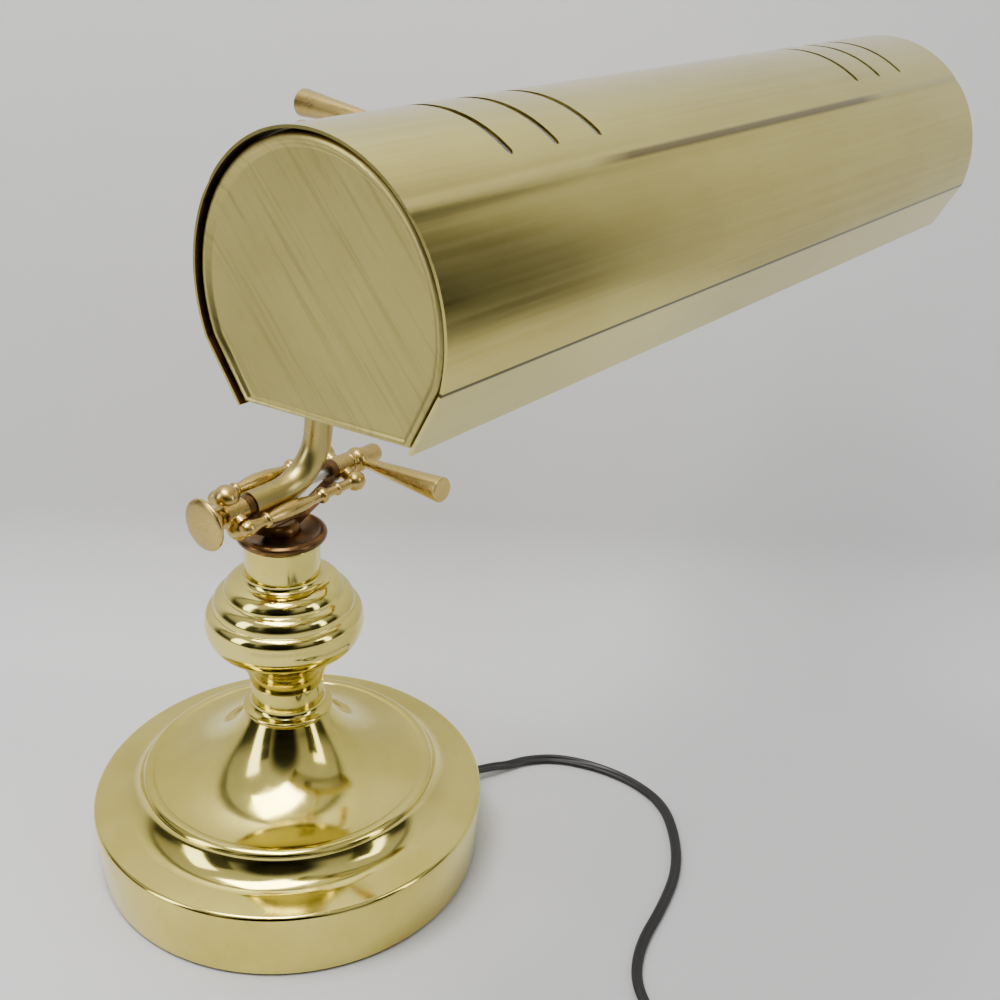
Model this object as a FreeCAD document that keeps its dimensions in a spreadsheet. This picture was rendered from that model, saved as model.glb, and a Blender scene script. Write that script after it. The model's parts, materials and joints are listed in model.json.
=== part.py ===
# Piano lamp: weighted round base, turned column, swivelling head, leaning tube arm with a
# clamped hinge at each end, and a long half-round shade that tilts on the upper hinge.
# Millimetres, +Z up.  The origin is the centre of the base on the table, +X runs along the
# shade, and the shade stands in front of the column at -Y.
import FreeCAD, Part
import Sketcher, math, os

V = FreeCAD.Vector
ROT = FreeCAD.Rotation
PLC = FreeCAD.Placement
doc = FreeCAD.newDocument("PianoLamp")
sheet = doc.addObject("Spreadsheet::Sheet", "Sizes")
sheet.Label = "Sizes"
_cells = {}


def size(alias, value):
    """One driving dimension: a cell with an alias, and its value for the code."""
    if alias in _cells:
        return _cells[alias]
    n = len(_cells) + 1
    sheet.set("A%d" % n, alias)
    sheet.set("B%d" % n, "%.5f" % float(value))
    sheet.setAlias("B%d" % n, alias)
    _cells[alias] = float(value)
    return float(value)


def ref(alias):
    return "Sizes." + alias


# ---- main dimensions -------------------------------------------------------------------
BASE_RAD = size("base_radius", 101.6)          # 8 in base
RIM_RAD = size("rim_radius", 103.0)
HINGE_Z = size("hinge_height", 212.0)          # lower hinge axis, along X
LEAN = size("arm_lean_deg", 8.376)               # forward lean of the arm at rest
ARM_LEN = size("arm_length", 171.63)            # lower hinge axis to upper hinge axis
RISER_X = size("riser_offset", 22.5)
BEND = size("arm_bend_radius", 25.0)
TUBE_RAD = size("arm_tube_radius", 7.0)
TUBE_IN = size("arm_tube_bore_radius", 6.0)
PIN_RAD = size("hinge_bolt_radius", 2.5)
PIN_BORE = size("hinge_bore_radius", 2.55)
SHADE_LEN = size("shade_length", 353.0)
SHADE_RAD = size("shade_radius", 46.67)
SHADE_WALL = size("shade_wall", 0.9)
SHADE_Y = size("shade_axis_y", -184.0)
SHADE_Z = size("shade_axis_z", 380.4)
SHADE_X = size("shade_centre_x", 25.0)
SHADE_ROLL = size("shade_roll_deg", -4.15)
SPIN_D = size("spindle_offset", 11.6)
SPIN_A = size("spindle_angle_deg", 12.6)
LEVER_X = size("lever_x", 53.0)
CORD_W = size("cord_width", 5.8)
CORD_AZ = size("cord_exit_azimuth_deg", -24.0)

lean = math.radians(LEAN)
UP_Y = -ARM_LEN * math.sin(lean)
UP_Z = HINGE_Z + ARM_LEN * math.cos(lean)
STEM_ANG = math.degrees(math.atan2(UP_Z - SHADE_Z, UP_Y - SHADE_Y))
STEM_D = math.hypot(UP_Z - SHADE_Z, UP_Y - SHADE_Y)
XAX = V(1, 0, 0)
ARM = PLC(V(0, 0, HINGE_Z), ROT(XAX, LEAN))
STEM = PLC(V(RISER_X, UP_Y, UP_Z), ROT(XAX, STEM_ANG))
SHADE = PLC(V(SHADE_X, SHADE_Y, SHADE_Z), ROT(XAX, SHADE_ROLL))
print("upper hinge at Y %.2f Z %.2f, stem angle %.2f deg, hinge to shade axis %.2f mm"
      % (UP_Y, UP_Z, STEM_ANG, STEM_D))

nodes = {}


def keep(obj, label, placement=None):
    obj.Label = label
    if placement is not None:
        obj.Placement = placement
    nodes[label] = obj
    return obj


# ---- sketched bodies -------------------------------------------------------------------
def plane(body, role):
    for f in body.Origin.OriginFeatures:
        if f.Role == role:
            return f
    raise RuntimeError(role)


def arc3(a, m, b):
    """Centre, radius and the two angles of the arc a-m-b, and whether it runs clockwise."""
    ax, ay = a; bx, by = m; cx, cy = b
    d = 2 * (ax * (by - cy) + bx * (cy - ay) + cx * (ay - by))
    ux = ((ax * ax + ay * ay) * (by - cy) + (bx * bx + by * by) * (cy - ay) + (cx * cx + cy * cy) * (ay - by)) / d
    uy = ((ax * ax + ay * ay) * (cx - bx) + (bx * bx + by * by) * (ax - cx) + (cx * cx + cy * cy) * (bx - ax)) / d
    rad = math.hypot(ax - ux, ay - uy)
    a0 = math.atan2(ay - uy, ax - ux)
    a1 = math.atan2(cy - uy, cx - ux)
    cw = ((bx - ax) * (cy - ay) - (by - ay) * (cx - ax)) < 0
    return ux, uy, rad, a0, a1, cw


def outline(sk, tag, path):
    """Closed outline.  path: list of (x, y) or ((x, y), (mx, my)), where the second pair is a
    point that the arc to the next corner passes through.  Every corner is bound to the sheet."""
    n = len(path)
    corner = [p if not isinstance(p[0], (tuple, list)) else p[0] for p in path]
    mid = [None if not isinstance(p[0], (tuple, list)) else p[1] for p in path]
    start, end = [], []
    for i in range(n):
        a, b = corner[i], corner[(i + 1) % n]
        if mid[i] is None:
            g = sk.addGeometry(Part.LineSegment(V(a[0], a[1], 0), V(b[0], b[1], 0)), False)
            start.append((g, 1)); end.append((g, 2))
        else:
            ux, uy, rad, a0, a1, cw = arc3(a, mid[i], b)
            circ = Part.Circle(V(ux, uy, 0), V(0, 0, 1), rad)
            g = sk.addGeometry(Part.ArcOfCircle(circ, a1, a0) if cw else Part.ArcOfCircle(circ, a0, a1), False)
            start.append((g, 2 if cw else 1)); end.append((g, 1 if cw else 2))
            k = sk.addConstraint(Sketcher.Constraint("Radius", g, rad))
            al = "%s_rad%d" % (tag, i)
            size(al, rad)
            sk.setExpression("Constraints[%d]" % k, ref(al))
    for i in range(n):
        sk.addConstraint(Sketcher.Constraint("Coincident", end[i][0], end[i][1], start[(i + 1) % n][0], start[(i + 1) % n][1]))
    for i in range(n):
        g, p = start[i]
        for axis, val, on in (("DistanceX", corner[i][0], -2), ("DistanceY", corner[i][1], -1)):
            if abs(val) < 1e-9:
                sk.addConstraint(Sketcher.Constraint("PointOnObject", g, p, on))
                continue
            al = "%s_%s%d" % (tag, "u" if axis == "DistanceX" else "w", i)
            size(al, val)
            k = sk.addConstraint(Sketcher.Constraint(axis, -1, 1, g, p, val))
            sk.setExpression("Constraints[%d]" % k, ref(al))


def sketch(body, role, tag, path):
    sk = body.newObject("Sketcher::SketchObject", tag + "_sketch")
    sk.AttachmentSupport = [(plane(body, role), "")]
    sk.MapMode = "FlatFace"
    outline(sk, tag, path)
    return sk


def turned(label, tag, path, placement=None, about="V_Axis"):
    """A turned or spun piece: an outline in the XZ plane revolved about Z (V) or X (H)."""
    body = doc.addObject("PartDesign::Body", tag + "_body")
    sk = sketch(body, "XZ_Plane", tag, path)
    rev = body.newObject("PartDesign::Revolution", tag + "_rev")
    rev.Profile = sk
    rev.ReferenceAxis = (sk, [about])
    rev.Angle = 360.0
    sk.Visibility = False
    body.Tip = rev
    return keep(body, label, placement)


def padded(tag, role, path, length_alias, both=False):
    body = doc.addObject("PartDesign::Body", tag + "_body")
    sk = sketch(body, role, tag, path)
    pad = body.newObject("PartDesign::Pad", tag + "_pad")
    pad.Profile = sk
    pad.Length = _cells[length_alias]
    pad.setExpression("Length", ref(length_alias))
    if both:
        if hasattr(pad, "SideType"):
            pad.SideType = "Symmetric"
        else:
            pad.Midplane = True
    sk.Visibility = False
    body.Tip = pad
    return body


# ---- primitives ------------------------------------------------------------------------
_count = [0]


def name(stem):
    _count[0] += 1
    return "%s_%d" % (stem, _count[0])


def along(p, d):
    """Placement that puts a primitive's Z axis along d at p."""
    return PLC(V(*p), ROT(V(0, 0, 1), V(*d)))


def cyl(tag, rad, length, p, d=(0, 0, 1)):
    o = doc.addObject("Part::Cylinder", name("cyl"))
    size(tag + "_rad", rad); size(tag + "_len", length)
    o.Radius = rad; o.Height = length
    o.setExpression("Radius", ref(tag + "_rad")); o.setExpression("Height", ref(tag + "_len"))
    o.Placement = along(p, d)
    return o


def cone(tag, r1, r2, length, p, d=(0, 0, 1)):
    o = doc.addObject("Part::Cone", name("cone"))
    size(tag + "_rad1", r1); size(tag + "_rad2", r2); size(tag + "_len", length)
    o.Radius1 = r1; o.Radius2 = r2; o.Height = length
    o.setExpression("Radius1", ref(tag + "_rad1")); o.setExpression("Radius2", ref(tag + "_rad2"))
    o.setExpression("Height", ref(tag + "_len"))
    o.Placement = along(p, d)
    return o


def box(tag, lx, ly, lz, p, rot=None):
    o = doc.addObject("Part::Box", name("box"))
    for prop, val, k in (("Length", lx, "lx"), ("Width", ly, "ly"), ("Height", lz, "lz")):
        size(tag + "_" + k, val)
        setattr(o, prop, val)
        o.setExpression(prop, ref(tag + "_" + k))
    o.Placement = PLC(V(*p), rot or ROT())
    return o


def fuse(parts, label=None, placement=None):
    o = doc.addObject("Part::MultiFuse", name("fuse"))
    o.Shapes = parts
    o.Refine = True
    return keep(o, label, placement) if label else o


def cut(base, tools, label=None, placement=None):
    if len(tools) > 1:
        tools = [fuse(tools)]
    o = doc.addObject("Part::Cut", name("cut"))
    o.Base = base
    o.Tool = tools[0]
    o.Refine = True
    return keep(o, label, placement) if label else o


def group(parts, label, placement=None):
    """Identical fasteners in one node, as separate solids."""
    o = doc.addObject("Part::Compound", name("group"))
    o.Links = parts
    return keep(o, label, placement)


def hexnut(tag, flats, thick, bore, p, d=(0, 0, 1)):
    o = doc.addObject("Part::Prism", name("hex"))
    size(tag + "_corner", flats / math.sqrt(3)); size(tag + "_thick", thick)
    o.Polygon = 6
    o.Circumradius = _cells[tag + "_corner"]
    o.Height = thick
    o.setExpression("Circumradius", ref(tag + "_corner")); o.setExpression("Height", ref(tag + "_thick"))
    o.Placement = along(p, d)
    q = V(*p) - V(*d) * 1.0
    return cut(o, [cyl(tag + "_bore", bore, thick + 2.0, (q.x, q.y, q.z), d)])


def feature(label, shape, placement=None):
    o = doc.addObject("Part::Feature", name("solid"))
    o.Shape = shape
    return keep(o, label, placement or PLC())


def bent_path(points, share=0.45, radii=None):
    """Straight runs joined by tangent arcs.  Each arc's radius is share of its shorter run over
    the tangent of half the turn, or the radius given.  Returns the wire, its length and radii."""
    pts = [V(*p) for p in points]
    edges, used, total = [], [], 0.0
    here = pts[0]
    for i in range(1, len(pts) - 1):
        a, b, c = pts[i - 1], pts[i], pts[i + 1]
        d1 = (b - a).normalize() if (b - a).Length else V()
        d1 = V(b.x - a.x, b.y - a.y, b.z - a.z); l1 = d1.Length; d1.normalize()
        d2 = V(c.x - b.x, c.y - b.y, c.z - b.z); l2 = d2.Length; d2.normalize()
        turn = d1.getAngle(d2)
        rad = share * min(l1, l2) / math.tan(turn / 2) if radii is None or radii[i - 1] is None else radii[i - 1]
        t = rad * math.tan(turn / 2)
        s = b - d1 * t
        e = b + d2 * t
        mdir = (d2 - d1); mdir.normalize()
        centre = b + mdir * (rad / math.cos(turn / 2))
        m = centre - mdir * rad
        if (s - here).Length > 1e-6:
            edges.append(Part.LineSegment(here, s).toShape())
        edges.append(Part.Arc(s, m, e).toShape())
        used.append((rad, math.degrees(turn)))
        total += (s - here).Length + rad * turn
        here = e
    edges.append(Part.LineSegment(here, pts[-1]).toShape())
    total += (pts[-1] - here).Length
    return Part.Wire(edges), total, used


def pipe(wire, rad, inner=0.0):
    e = wire.Edges[0]
    p = e.valueAt(e.FirstParameter)
    t = e.tangentAt(e.FirstParameter)
    ring = Part.Wire([Part.Circle(p, t, rad).toShape()])
    s = wire.makePipeShell([ring], True, False)
    if inner:
        s = s.cut(wire.makePipeShell([Part.Wire([Part.Circle(p, t, inner).toShape()])], True, False))
    if s.ShapeType == "Compound" and len(s.Solids) == 1:
        s = s.Solids[0]
    return s


# ======================================================================== base and column
turned("base_shell", "bshell", [
    (101.6, 1.5), (103.0, 35.6), ((103.0, 36.0), (102.35, 37.75)), (100.7, 38.55),
    ((91.2, 40.3), (81.9, 43.6)), (76.3, 51.2), ((76.3, 52.2), (74.0, 54.0)),
    ((70.4, 53.5), (41.0, 64.6)), (21.6, 88.0), (5.5, 88.0), (5.5, 86.4),
    ((20.6, 86.4), (39.7, 63.4)), (70.0, 51.9), (74.8, 51.4), ((74.8, 50.6), (80.8, 42.5)),
    (90.8, 38.8), (100.2, 37.0), (101.4, 35.4), (100.1, 1.5)])
exit_az = math.radians(CORD_AZ)
ex, ey = math.cos(exit_az), math.sin(exit_az)
GLAND_Z = size("cord_exit_height", 7.0)
shell = nodes.pop("base_shell")
shell.Label = "base_shell_blank"
cut(shell, [cyl("outlet_hole", 4.0, 14.0, (96 * ex, 96 * ey, GLAND_Z), (ex, ey, 0))], "base_shell")

keep(cyl("pad", 100.4, 1.4, (0, 0, 0)), "base_pad")
cut(cyl("plate", 99.6, 1.2, (0, 0, 1.5)), [cyl("plate_hole", 14.0, 4.0, (0, 0, 0.5))], "base_plate")
# cast weight with a recess for the lower nut, lifted clear of the lead that runs below it
turned("base_weight", "bwt", [
    (80.0, 9.6), (80.0, 23.0), (77.0, 27.0), (5.6, 27.0), (5.6, 18.0), (14.5, 18.0), (14.5, 9.6)])
# three feet that carry the weight on the bottom plate
feet = []
for k, a in enumerate((38.0, 158.0, 278.0)):
    c, s_ = math.cos(math.radians(a)), math.sin(math.radians(a))
    feet.append(cyl("weight_foot", 5.0, 6.7, (62 * c, 62 * s_, 2.8)))
group(feet, "weight_spacers")
turned("lamp_pipe", "lpipe", [(5.0, 12.0), (5.0, 176.0), (3.4, 176.0), (3.4, 12.0)])
group([hexnut("pipe_nut", 15.0, 4.0, 5.05, (0, 0, 12.2)), hexnut("pipe_nut", 15.0, 4.0, 5.05, (0, 0, 171.9))], "pipe_nuts")
turned("pipe_washer", "pwash", [(12.0, 16.4), (12.0, 17.8), (5.2, 17.8), (5.2, 16.4)])
turned("pipe_spacer", "pspace", [(8.0, 27.2), (8.0, 86.2), (5.4, 86.2), (5.4, 27.2)])

turned("column_foot", "cfoot", [
    (5.5, 88.2), (21.2, 88.2), ((22.4, 89.0), (23.2, 90.3)), (22.2, 91.6), ((20.4, 92.3), (19.2, 93.6)),
    (18.8, 95.6), (18.8, 106.2), (5.5, 106.2), (5.5, 104.6), (17.2, 104.6), (17.2, 89.8), (5.5, 89.8)])
turned("column_vase", "cvase", [
    (5.5, 106.4), ((19.0, 106.4), (20.2, 111.8)), ((22.6, 117.0), (28.2, 124.6)), (34.6, 130.2),
    ((36.0, 131.2), (39.5, 137.8)), ((39.4, 145.2), (38.6, 148.4)), (36.4, 150.6), (35.6, 150.9),
    ((35.6, 152.0), (34.6, 155.4)), (31.0, 158.6), (29.9, 159.2), ((29.9, 160.2), (28.2, 163.4)),
    (24.2, 166.0), ((22.6, 166.6), (20.3, 167.5)), (19.4, 169.8), (5.5, 169.8), (5.5, 168.2),
    (17.6, 168.2), (22.0, 164.6), (28.0, 158.6), (34.0, 150.8), (37.4, 144.8), (37.4, 137.8), (34.2, 132.4),
    (26.8, 125.6), (21.0, 117.4), (18.0, 108.0), (5.5, 108.0)])
turned("column_neck", "cneck", [
    (5.5, 170.0), (18.8, 170.0), (18.8, 185.6), ((18.8, 185.9), (18.5, 187.0)), (17.4, 187.3),
    (17.0, 187.3), (17.0, 171.6), (5.5, 171.6)])
turned("neck_bushing", "nbush", [(6.85, 180.2), (16.9, 180.2), (16.9, 186.6), (6.85, 186.6)])

# cord outlet: a tapered bushing through the wall of the base
cord_tip = RIM_RAD + size("gland_reach", 11.0)
gl = [cyl("gland_body", 3.95, 12.0, (92.0 * ex, 92.0 * ey, GLAND_Z), (ex, ey, 0)),
      cyl("gland_flange", 5.2, 1.6, (103.3 * ex, 103.3 * ey, GLAND_Z), (ex, ey, 0)),
      cone("gland_nose", 4.6, 3.5, cord_tip - 104.8, (104.8 * ex, 104.8 * ey, GLAND_Z), (ex, ey, 0)),
      cone("gland_tail", 3.4, 3.95, 6.0, (86.2 * ex, 86.2 * ey, GLAND_Z), (ex, ey, 0))]
cut(fuse(gl), [cyl("gland_bore", 2.4, 18.0, (85.0 * ex, 85.0 * ey, GLAND_Z), (ex, ey, 0))], "cord_gland")

# supply lead inside the base and up the pipe
lead_in = [(102.0 * ex, 102.0 * ey, GLAND_Z), (80.0 * ex, 80.0 * ey, GLAND_Z), (66.0 * ex, 66.0 * ey, 6.0),
           (0, 0, 6.0), (0, 0, 168.0)]
w, ln, used = bent_path(lead_in, radii=[20.0, 20.0, 6.0])
feature("supply_lead", pipe(w, size("lead_radius", 2.2)))

# ======================================================================== swivelling head
turned("swivel_collar", "scol", [
    (6.85, 187.7), (19.6, 187.7), ((21.4, 188.3), (22.4, 190.0)), (21.9, 191.7), ((20.9, 192.5), (19.6, 192.75)),
    (18.6, 192.2), ((18.0, 191.9), (14.0, 191.1)), (9.6, 191.4), (6.85, 191.4)])
LUG_L, LUG_R = -23.6, 31.2
LUG_T = size("lug_thickness", 3.8)
# a forked yoke rises from the hub to a lug at each end of the arm's cross tube
YOKE_W = size("yoke_width", 5.2)
yoke = padded("yoke", "XZ_Plane", [
    (-10.0, 192.4), (10.0, 192.4), (35.0, 203.2), (35.0, 211.0), (31.2, 211.0), (31.2, 206.8), (9.0, 197.0),
    (-9.0, 197.0), (-19.8, 202.9), (-19.8, 211.0), (-23.6, 211.0), (-23.6, 200.2)], "yoke_width", both=True)
hub = [yoke, cyl("post", 6.8, 16.9, (0, 0, 176.8)),
       turned("head_hub_tmp", "hhub", [(0, 191.6), (9.2, 191.6), ((9.2, 193.2), (8.2, 195.4)), (5.4, 196.6), (0, 196.6)])]
nodes.pop("head_hub_tmp")
for x in (LUG_L, LUG_R):
    hub.append(cyl("lug_boss", 6.0, LUG_T, (x, 0, HINGE_Z), (1, 0, 0)))
cut(fuse(hub), [cyl("post_bore", 3.3, 17.0, (0, 0, 175.0)),
                cyl("lug_bore", PIN_BORE, 80.0, (-30.0, 0, HINGE_Z), (1, 0, 0))], "swivel_head")
turned("post_clip", "pclip", [(6.85, 178.2), (9.6, 178.2), (9.6, 179.6), (6.85, 179.6)])

# ======================================================================== arm
w, ln, used = bent_path([(-19.4, 0, 0), (RISER_X, 0, 0), (RISER_X, 0, ARM_LEN - 10.8)], radii=[BEND])
tube = pipe(w, TUBE_RAD, TUBE_IN)
drill = Part.makeCylinder(2.75, 50.0, V(-3.0, 0, 0), XAX)
tube = tube.cut(drill)
if tube.ShapeType == "Compound":
    tube = max(tube.Solids, key=lambda q: q.Volume)
feature("arm_tube", tube, ARM)
turned("hinge_sleeve", "hsleeve", [(-19.2, 2.6), (-4.6, 2.6), (-4.6, 5.95), (-19.2, 5.95)], ARM, "H_Axis")

sa = math.radians(SPIN_A)
for label, sg in (("rear_spindle", 1.0), ("front_spindle", -1.0)):
    off = ARM.multVec(V(0, sg * SPIN_D * math.cos(sa), sg * SPIN_D * math.sin(sa)))
    turned(label, "spin", [
        (-33.4, 0), ((-33.2, 2.4), (-31.4, 3.5)), (-28.8, 3.9), (-24.4, 3.1), (-22.6, 2.7), (-20.2, 2.7), ((-19.8, 3.2), (-18.6, 3.9)),
        (-17.4, 3.2), ((-17.0, 2.6), (-4.0, 4.1)), (9.4, 2.6), (10.6, 2.4), (14.4, 2.4), ((15.4, 3.0), (17.6, 4.1)),
        (19.8, 3.0), (20.6, 2.4), (26.0, 2.4), ((26.4, 2.9), (27.6, 3.4)), (28.8, 2.9), (29.2, 2.5), (35.6, 2.5),
        ((36.2, 2.9), (40.5, 5.2)), (45.7, 1.2), (45.7, 0)],
        PLC(off, ROT(XAX, LEAN)), "H_Axis")

pair = (0, math.cos(sa), math.sin(sa))


def end_block(label, tag, x0, x1, xb, boss, extra=()):
    parts = [cyl(tag + "_boss", boss, x1 - x0, (x0, 0, 0), (1, 0, 0)),
             cyl(tag + "_bar", 3.6, 16.4, (xb, -8.2 * pair[1], -8.2 * pair[2]), pair)] + list(extra)
    return cut(fuse(parts), [cyl(tag + "_bore", 2.55, 30.0, (x0 - 5, 0, 0), (1, 0, 0))], label, ARM)


def ball(tag, rad, p):
    o = doc.addObject("Part::Sphere", name("ball"))
    size(tag + "_rad", rad)
    o.Radius = rad
    o.setExpression("Radius", ref(tag + "_rad"))
    o.Placement = PLC(V(*p), ROT())
    return o


# two round bosses on the left block, one high at the back and one low at the front
BALL_D = size("block_ball_offset", 7.6)
BALL_A = math.radians(size("block_ball_angle_deg", 51.6))
end_block("left_end_block", "lblock", -35.6, -23.9, -30.0, 6.0, [
    ball("lblock_rear_ball", 6.3, (-29.8, BALL_D * math.cos(BALL_A), BALL_D * math.sin(BALL_A))),
    ball("lblock_front_ball", 5.7, (-29.8, -BALL_D * math.cos(BALL_A), -BALL_D * math.sin(BALL_A)))])
end_block("right_end_block", "rblock", 35.3, 45.6, 40.5, 5.8)

# eye casting on the top of the riser
eye = [cyl("eye_barrel", 8.2, 14.8, (RISER_X - 7.4, 0, ARM_LEN), (1, 0, 0)),
       cyl("eye_neck", 7.0, 8.0, (RISER_X, 0, ARM_LEN - 10.5)),
       cyl("eye_spigot", 5.95, 12.6, (RISER_X, 0, ARM_LEN - 22.0))]
cut(fuse(eye), [cyl("eye_bore", PIN_BORE, 40.0, (RISER_X - 20, 0, ARM_LEN), (1, 0, 0)),
                cyl("eye_seat", 3.0, 14.0, (RISER_X, 0, ARM_LEN - 22.6))], "arm_eye", ARM)
w, ln, used = bent_path([(RISER_X - 5.0, 0, 16.0), (RISER_X, 0, 32.0), (RISER_X, 0, ARM_LEN - 12.0)], radii=[24.0])
feature("arm_lead", pipe(w, 2.2), ARM)


# ---- the two hinge clamps: bolt with disc knob on the left, sleeve nut with a lever right --
def lever_profile():
    return [(0, 4.2), (2.25, 4.2), (2.25, 7.4), (2.8, 7.9), (6.45, 56.6), (6.4, 57.3), (6.0, 57.8), (0, 57.8)]


def clamp(prefix, place, x_left, disc_rad, lever_dir_deg):
    """place maps hinge coordinates (axis X through the origin) to the lamp."""
    x0 = x_left
    k = disc_rad / 13.3
    turned(prefix + "_bolt", prefix[0] + "bolt", [
        (x0 - 4.0, 0), (x0 - 4.0, PIN_RAD), (68.6, PIN_RAD), (69.4, 1.9), (69.4, 0)], place, "H_Axis")
    turned(prefix + "_disc_knob", prefix[0] + "disc", [
        (x0 - 12.2, 0), ((x0 - 12.2, 4.0 * k), (x0 - 12.0, 8.5 * k)), (x0 - 11.5, 12.2 * k),
        ((x0 - 11.0, 13.0 * k), (x0 - 10.2, 13.3 * k)), (x0 - 9.4, 12.9 * k), (x0 - 8.8, 11.8 * k), (x0 - 8.2, 5.4),
        ((x0 - 7.6, 4.5), (x0 - 5.4, 5.2)),
        (x0 - 2.6, 4.4), (x0 - 1.8, 3.8), (x0 - 0.3, 3.8), (x0 - 0.3, 2.55), (x0 - 4.1, 2.55), (x0 - 4.1, 0)],
        place, "H_Axis")
    spot = place.multVec(V(0, 0, 0))
    lev = PLC(V(spot.x + LEVER_X, spot.y, spot.z), ROT(XAX, lever_dir_deg))
    # barrel of the sleeve nut, cross-drilled for the lever's root
    nut = turned("tmp", prefix[0] + "nut", [
        (46.2, 2.55), (46.2, 5.0), ((46.6, 5.4), (47.2, 5.6)), (47.8, 5.4), (48.2, 5.0), ((49.8, 5.2), (53.0, 6.6)),
        (56.2, 5.2), (57.6, 5.0), (65.4, 5.0), (67.0, 4.4), (67.9, 2.55)], None, "H_Axis")
    nodes.pop("tmp")
    drill_ = cyl("lever_seat", 2.3, 8.0, (LEVER_X, 0, 4.0))
    cut(nut, [drill_], prefix + "_sleeve_nut", PLC(V(spot.x, spot.y, spot.z), ROT(XAX, lever_dir_deg)))
    turned(prefix + "_lever", "lever", lever_profile(), lev)


HINGE = PLC(V(0, 0, HINGE_Z), ROT())
UPPER = PLC(V(0, UP_Y, UP_Z), ROT())
# lever angle about X from straight up: forward is +90, backward is -90
clamp("lower", HINGE, -36.0, 12.8, 90.0 - 1.7)
clamp("upper", UPPER, 9.0, 8.8, -90.0 + 3.0)
turned("upper_spacer", "uspace", [(36.0, 2.6), ((36.0, 5.2), (40.9, 4.2)), (45.8, 5.2), (45.8, 2.6)], UPPER, "H_Axis")

# ======================================================================== shade carrier
# stem coordinates: origin on the upper hinge axis at the riser, -Y points at the shade's axis
BACK = -(STEM_D - SHADE_RAD)                   # outer back of the shade
fork = []
for x in (-12.9, 7.9):
    fork += [cyl("fork_cheek", 7.5, 5.0, (x, 0, 0), (1, 0, 0)),
             box("fork_arm", 5.0, 20.0, 11.0, (x, -20.0, -5.5))]
fork += [box("fork_bridge", 25.8, 6.0, 11.0, (-12.9, -23.0, -5.5)),
         cyl("fork_socket", 7.6, 12.0, (0, -34.0, 0), (0, 1, 0)),
         cyl("fork_bead", 8.6, 2.4, (0, -34.6, 0), (0, 1, 0))]
cut(fuse(fork), [cyl("fork_bore", PIN_BORE, 40.0, (-20.0, 0, 0), (1, 0, 0)),
                 cyl("fork_seat", 5.05, 12.0, (0, -36.0, 0), (0, 1, 0)),
                 cyl("fork_lead", 3.2, 8.0, (0, -25.0, 0), (0, 1, 0))], "shade_fork", STEM)
STEM_LEN = size("stem_length", -BACK - 24.2 - 8.2)
cut(cyl("stem_out", 5.0, STEM_LEN, (0, -24.2 - STEM_LEN, 0), (0, 1, 0)),
    [cyl("stem_in", 3.9, STEM_LEN + 2, (0, -25.2 - STEM_LEN, 0), (0, 1, 0))], "shade_stem", STEM)
fl = turned("tmp", "flange", [(3.3, 0.0), (16.0, 0.0), ((16.0, 2.6), (15.4, 3.8)), (13.6, 4.3), ((9.0, 5.2), (7.0, 7.6)),
                              (6.6, 11.4), (5.1, 11.4), (5.1, 9.0), (3.3, 9.0)])
nodes.pop("tmp")
fl.Placement = PLC(V(0, BACK - 1.0, 0), ROT(V(0, 0, 1), V(0, 1, 0)))
cut(fl, [cyl("flange_seat", SHADE_RAD + 0.02, 60.0, (-30.0, -STEM_D, 0), (1, 0, 0))], "shade_flange", STEM)
NIP_LEN = size("nipple_length", 16.0)
cut(cyl("nip_out", 3.2, NIP_LEN, (0, BACK - 8.0, 0), (0, 1, 0)),
    [cyl("nip_in", 2.3, NIP_LEN + 2, (0, BACK - 9.0, 0), (0, 1, 0))], "shade_nipple", STEM)
cut(cyl("socket_nip", 3.15, 12.4, (-87.4, -STEM_D, 0), (1, 0, 0)),
    [cyl("socket_nip_in", 2.2, 14.4, (-88.4, -STEM_D, 0), (1, 0, 0))], "socket_nipple", STEM)
group([hexnut("nip_nut", 11.0, 3.2, 3.25, (0, BACK - 6.6, 0), (0, 1, 0)),
       hexnut("nip_nut", 11.0, 3.2, 3.25, (-86.6, -STEM_D, 0), (1, 0, 0))], "nipple_nuts", STEM)
# strap inside the back of the shade that carries the lamp holder
strap_y = BACK - SHADE_WALL - 0.75
SOCK_X = -82.0
strap = [box("strap_long", 96.0, 1.2, 13.0, (SOCK_X - 1.2, strap_y - 1.2, -6.5)),
         box("strap_leg", 1.4, 58.0, 13.0, (SOCK_X - 1.4, strap_y - 58.0, -6.5))]
cut(fuse(strap), [cyl("strap_hole", 3.3, 10.0, (0, strap_y - 5.0, 0), (0, 1, 0)),
                  cyl("strap_pin", 3.2, 10.0, (SOCK_X - 5.0, -STEM_D, 0), (1, 0, 0))], "socket_strap", STEM)
AX = PLC(V(RISER_X, UP_Y, UP_Z), ROT(XAX, STEM_ANG)).multVec(V(0, -STEM_D, 0))
BULB = PLC(AX, ROT(XAX, STEM_ANG))
turned("lamp_socket", "lsock", [
    (SOCK_X + 0.1, 3.25), (SOCK_X + 0.1, 9.0), ((SOCK_X + 2.0, 14.0), (SOCK_X + 5.0, 16.6)), (SOCK_X + 9.0, 18.0),
    (SOCK_X + 38.0, 18.6), (SOCK_X + 42.0, 18.6), (SOCK_X + 42.0, 13.6), (SOCK_X + 14.0, 13.6), (SOCK_X + 14.0, 0), (SOCK_X + 8.0, 0), (SOCK_X + 8.0, 3.25)], BULB, "H_Axis")
turned("bulb_cap", "bcap", [
    (SOCK_X + 15.0, 0), (SOCK_X + 15.0, 4.6), (SOCK_X + 18.0, 9.0), (SOCK_X + 19.0, 13.1), (SOCK_X + 41.6, 13.1),
    (SOCK_X + 41.6, 0)], BULB, "H_Axis")
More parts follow.
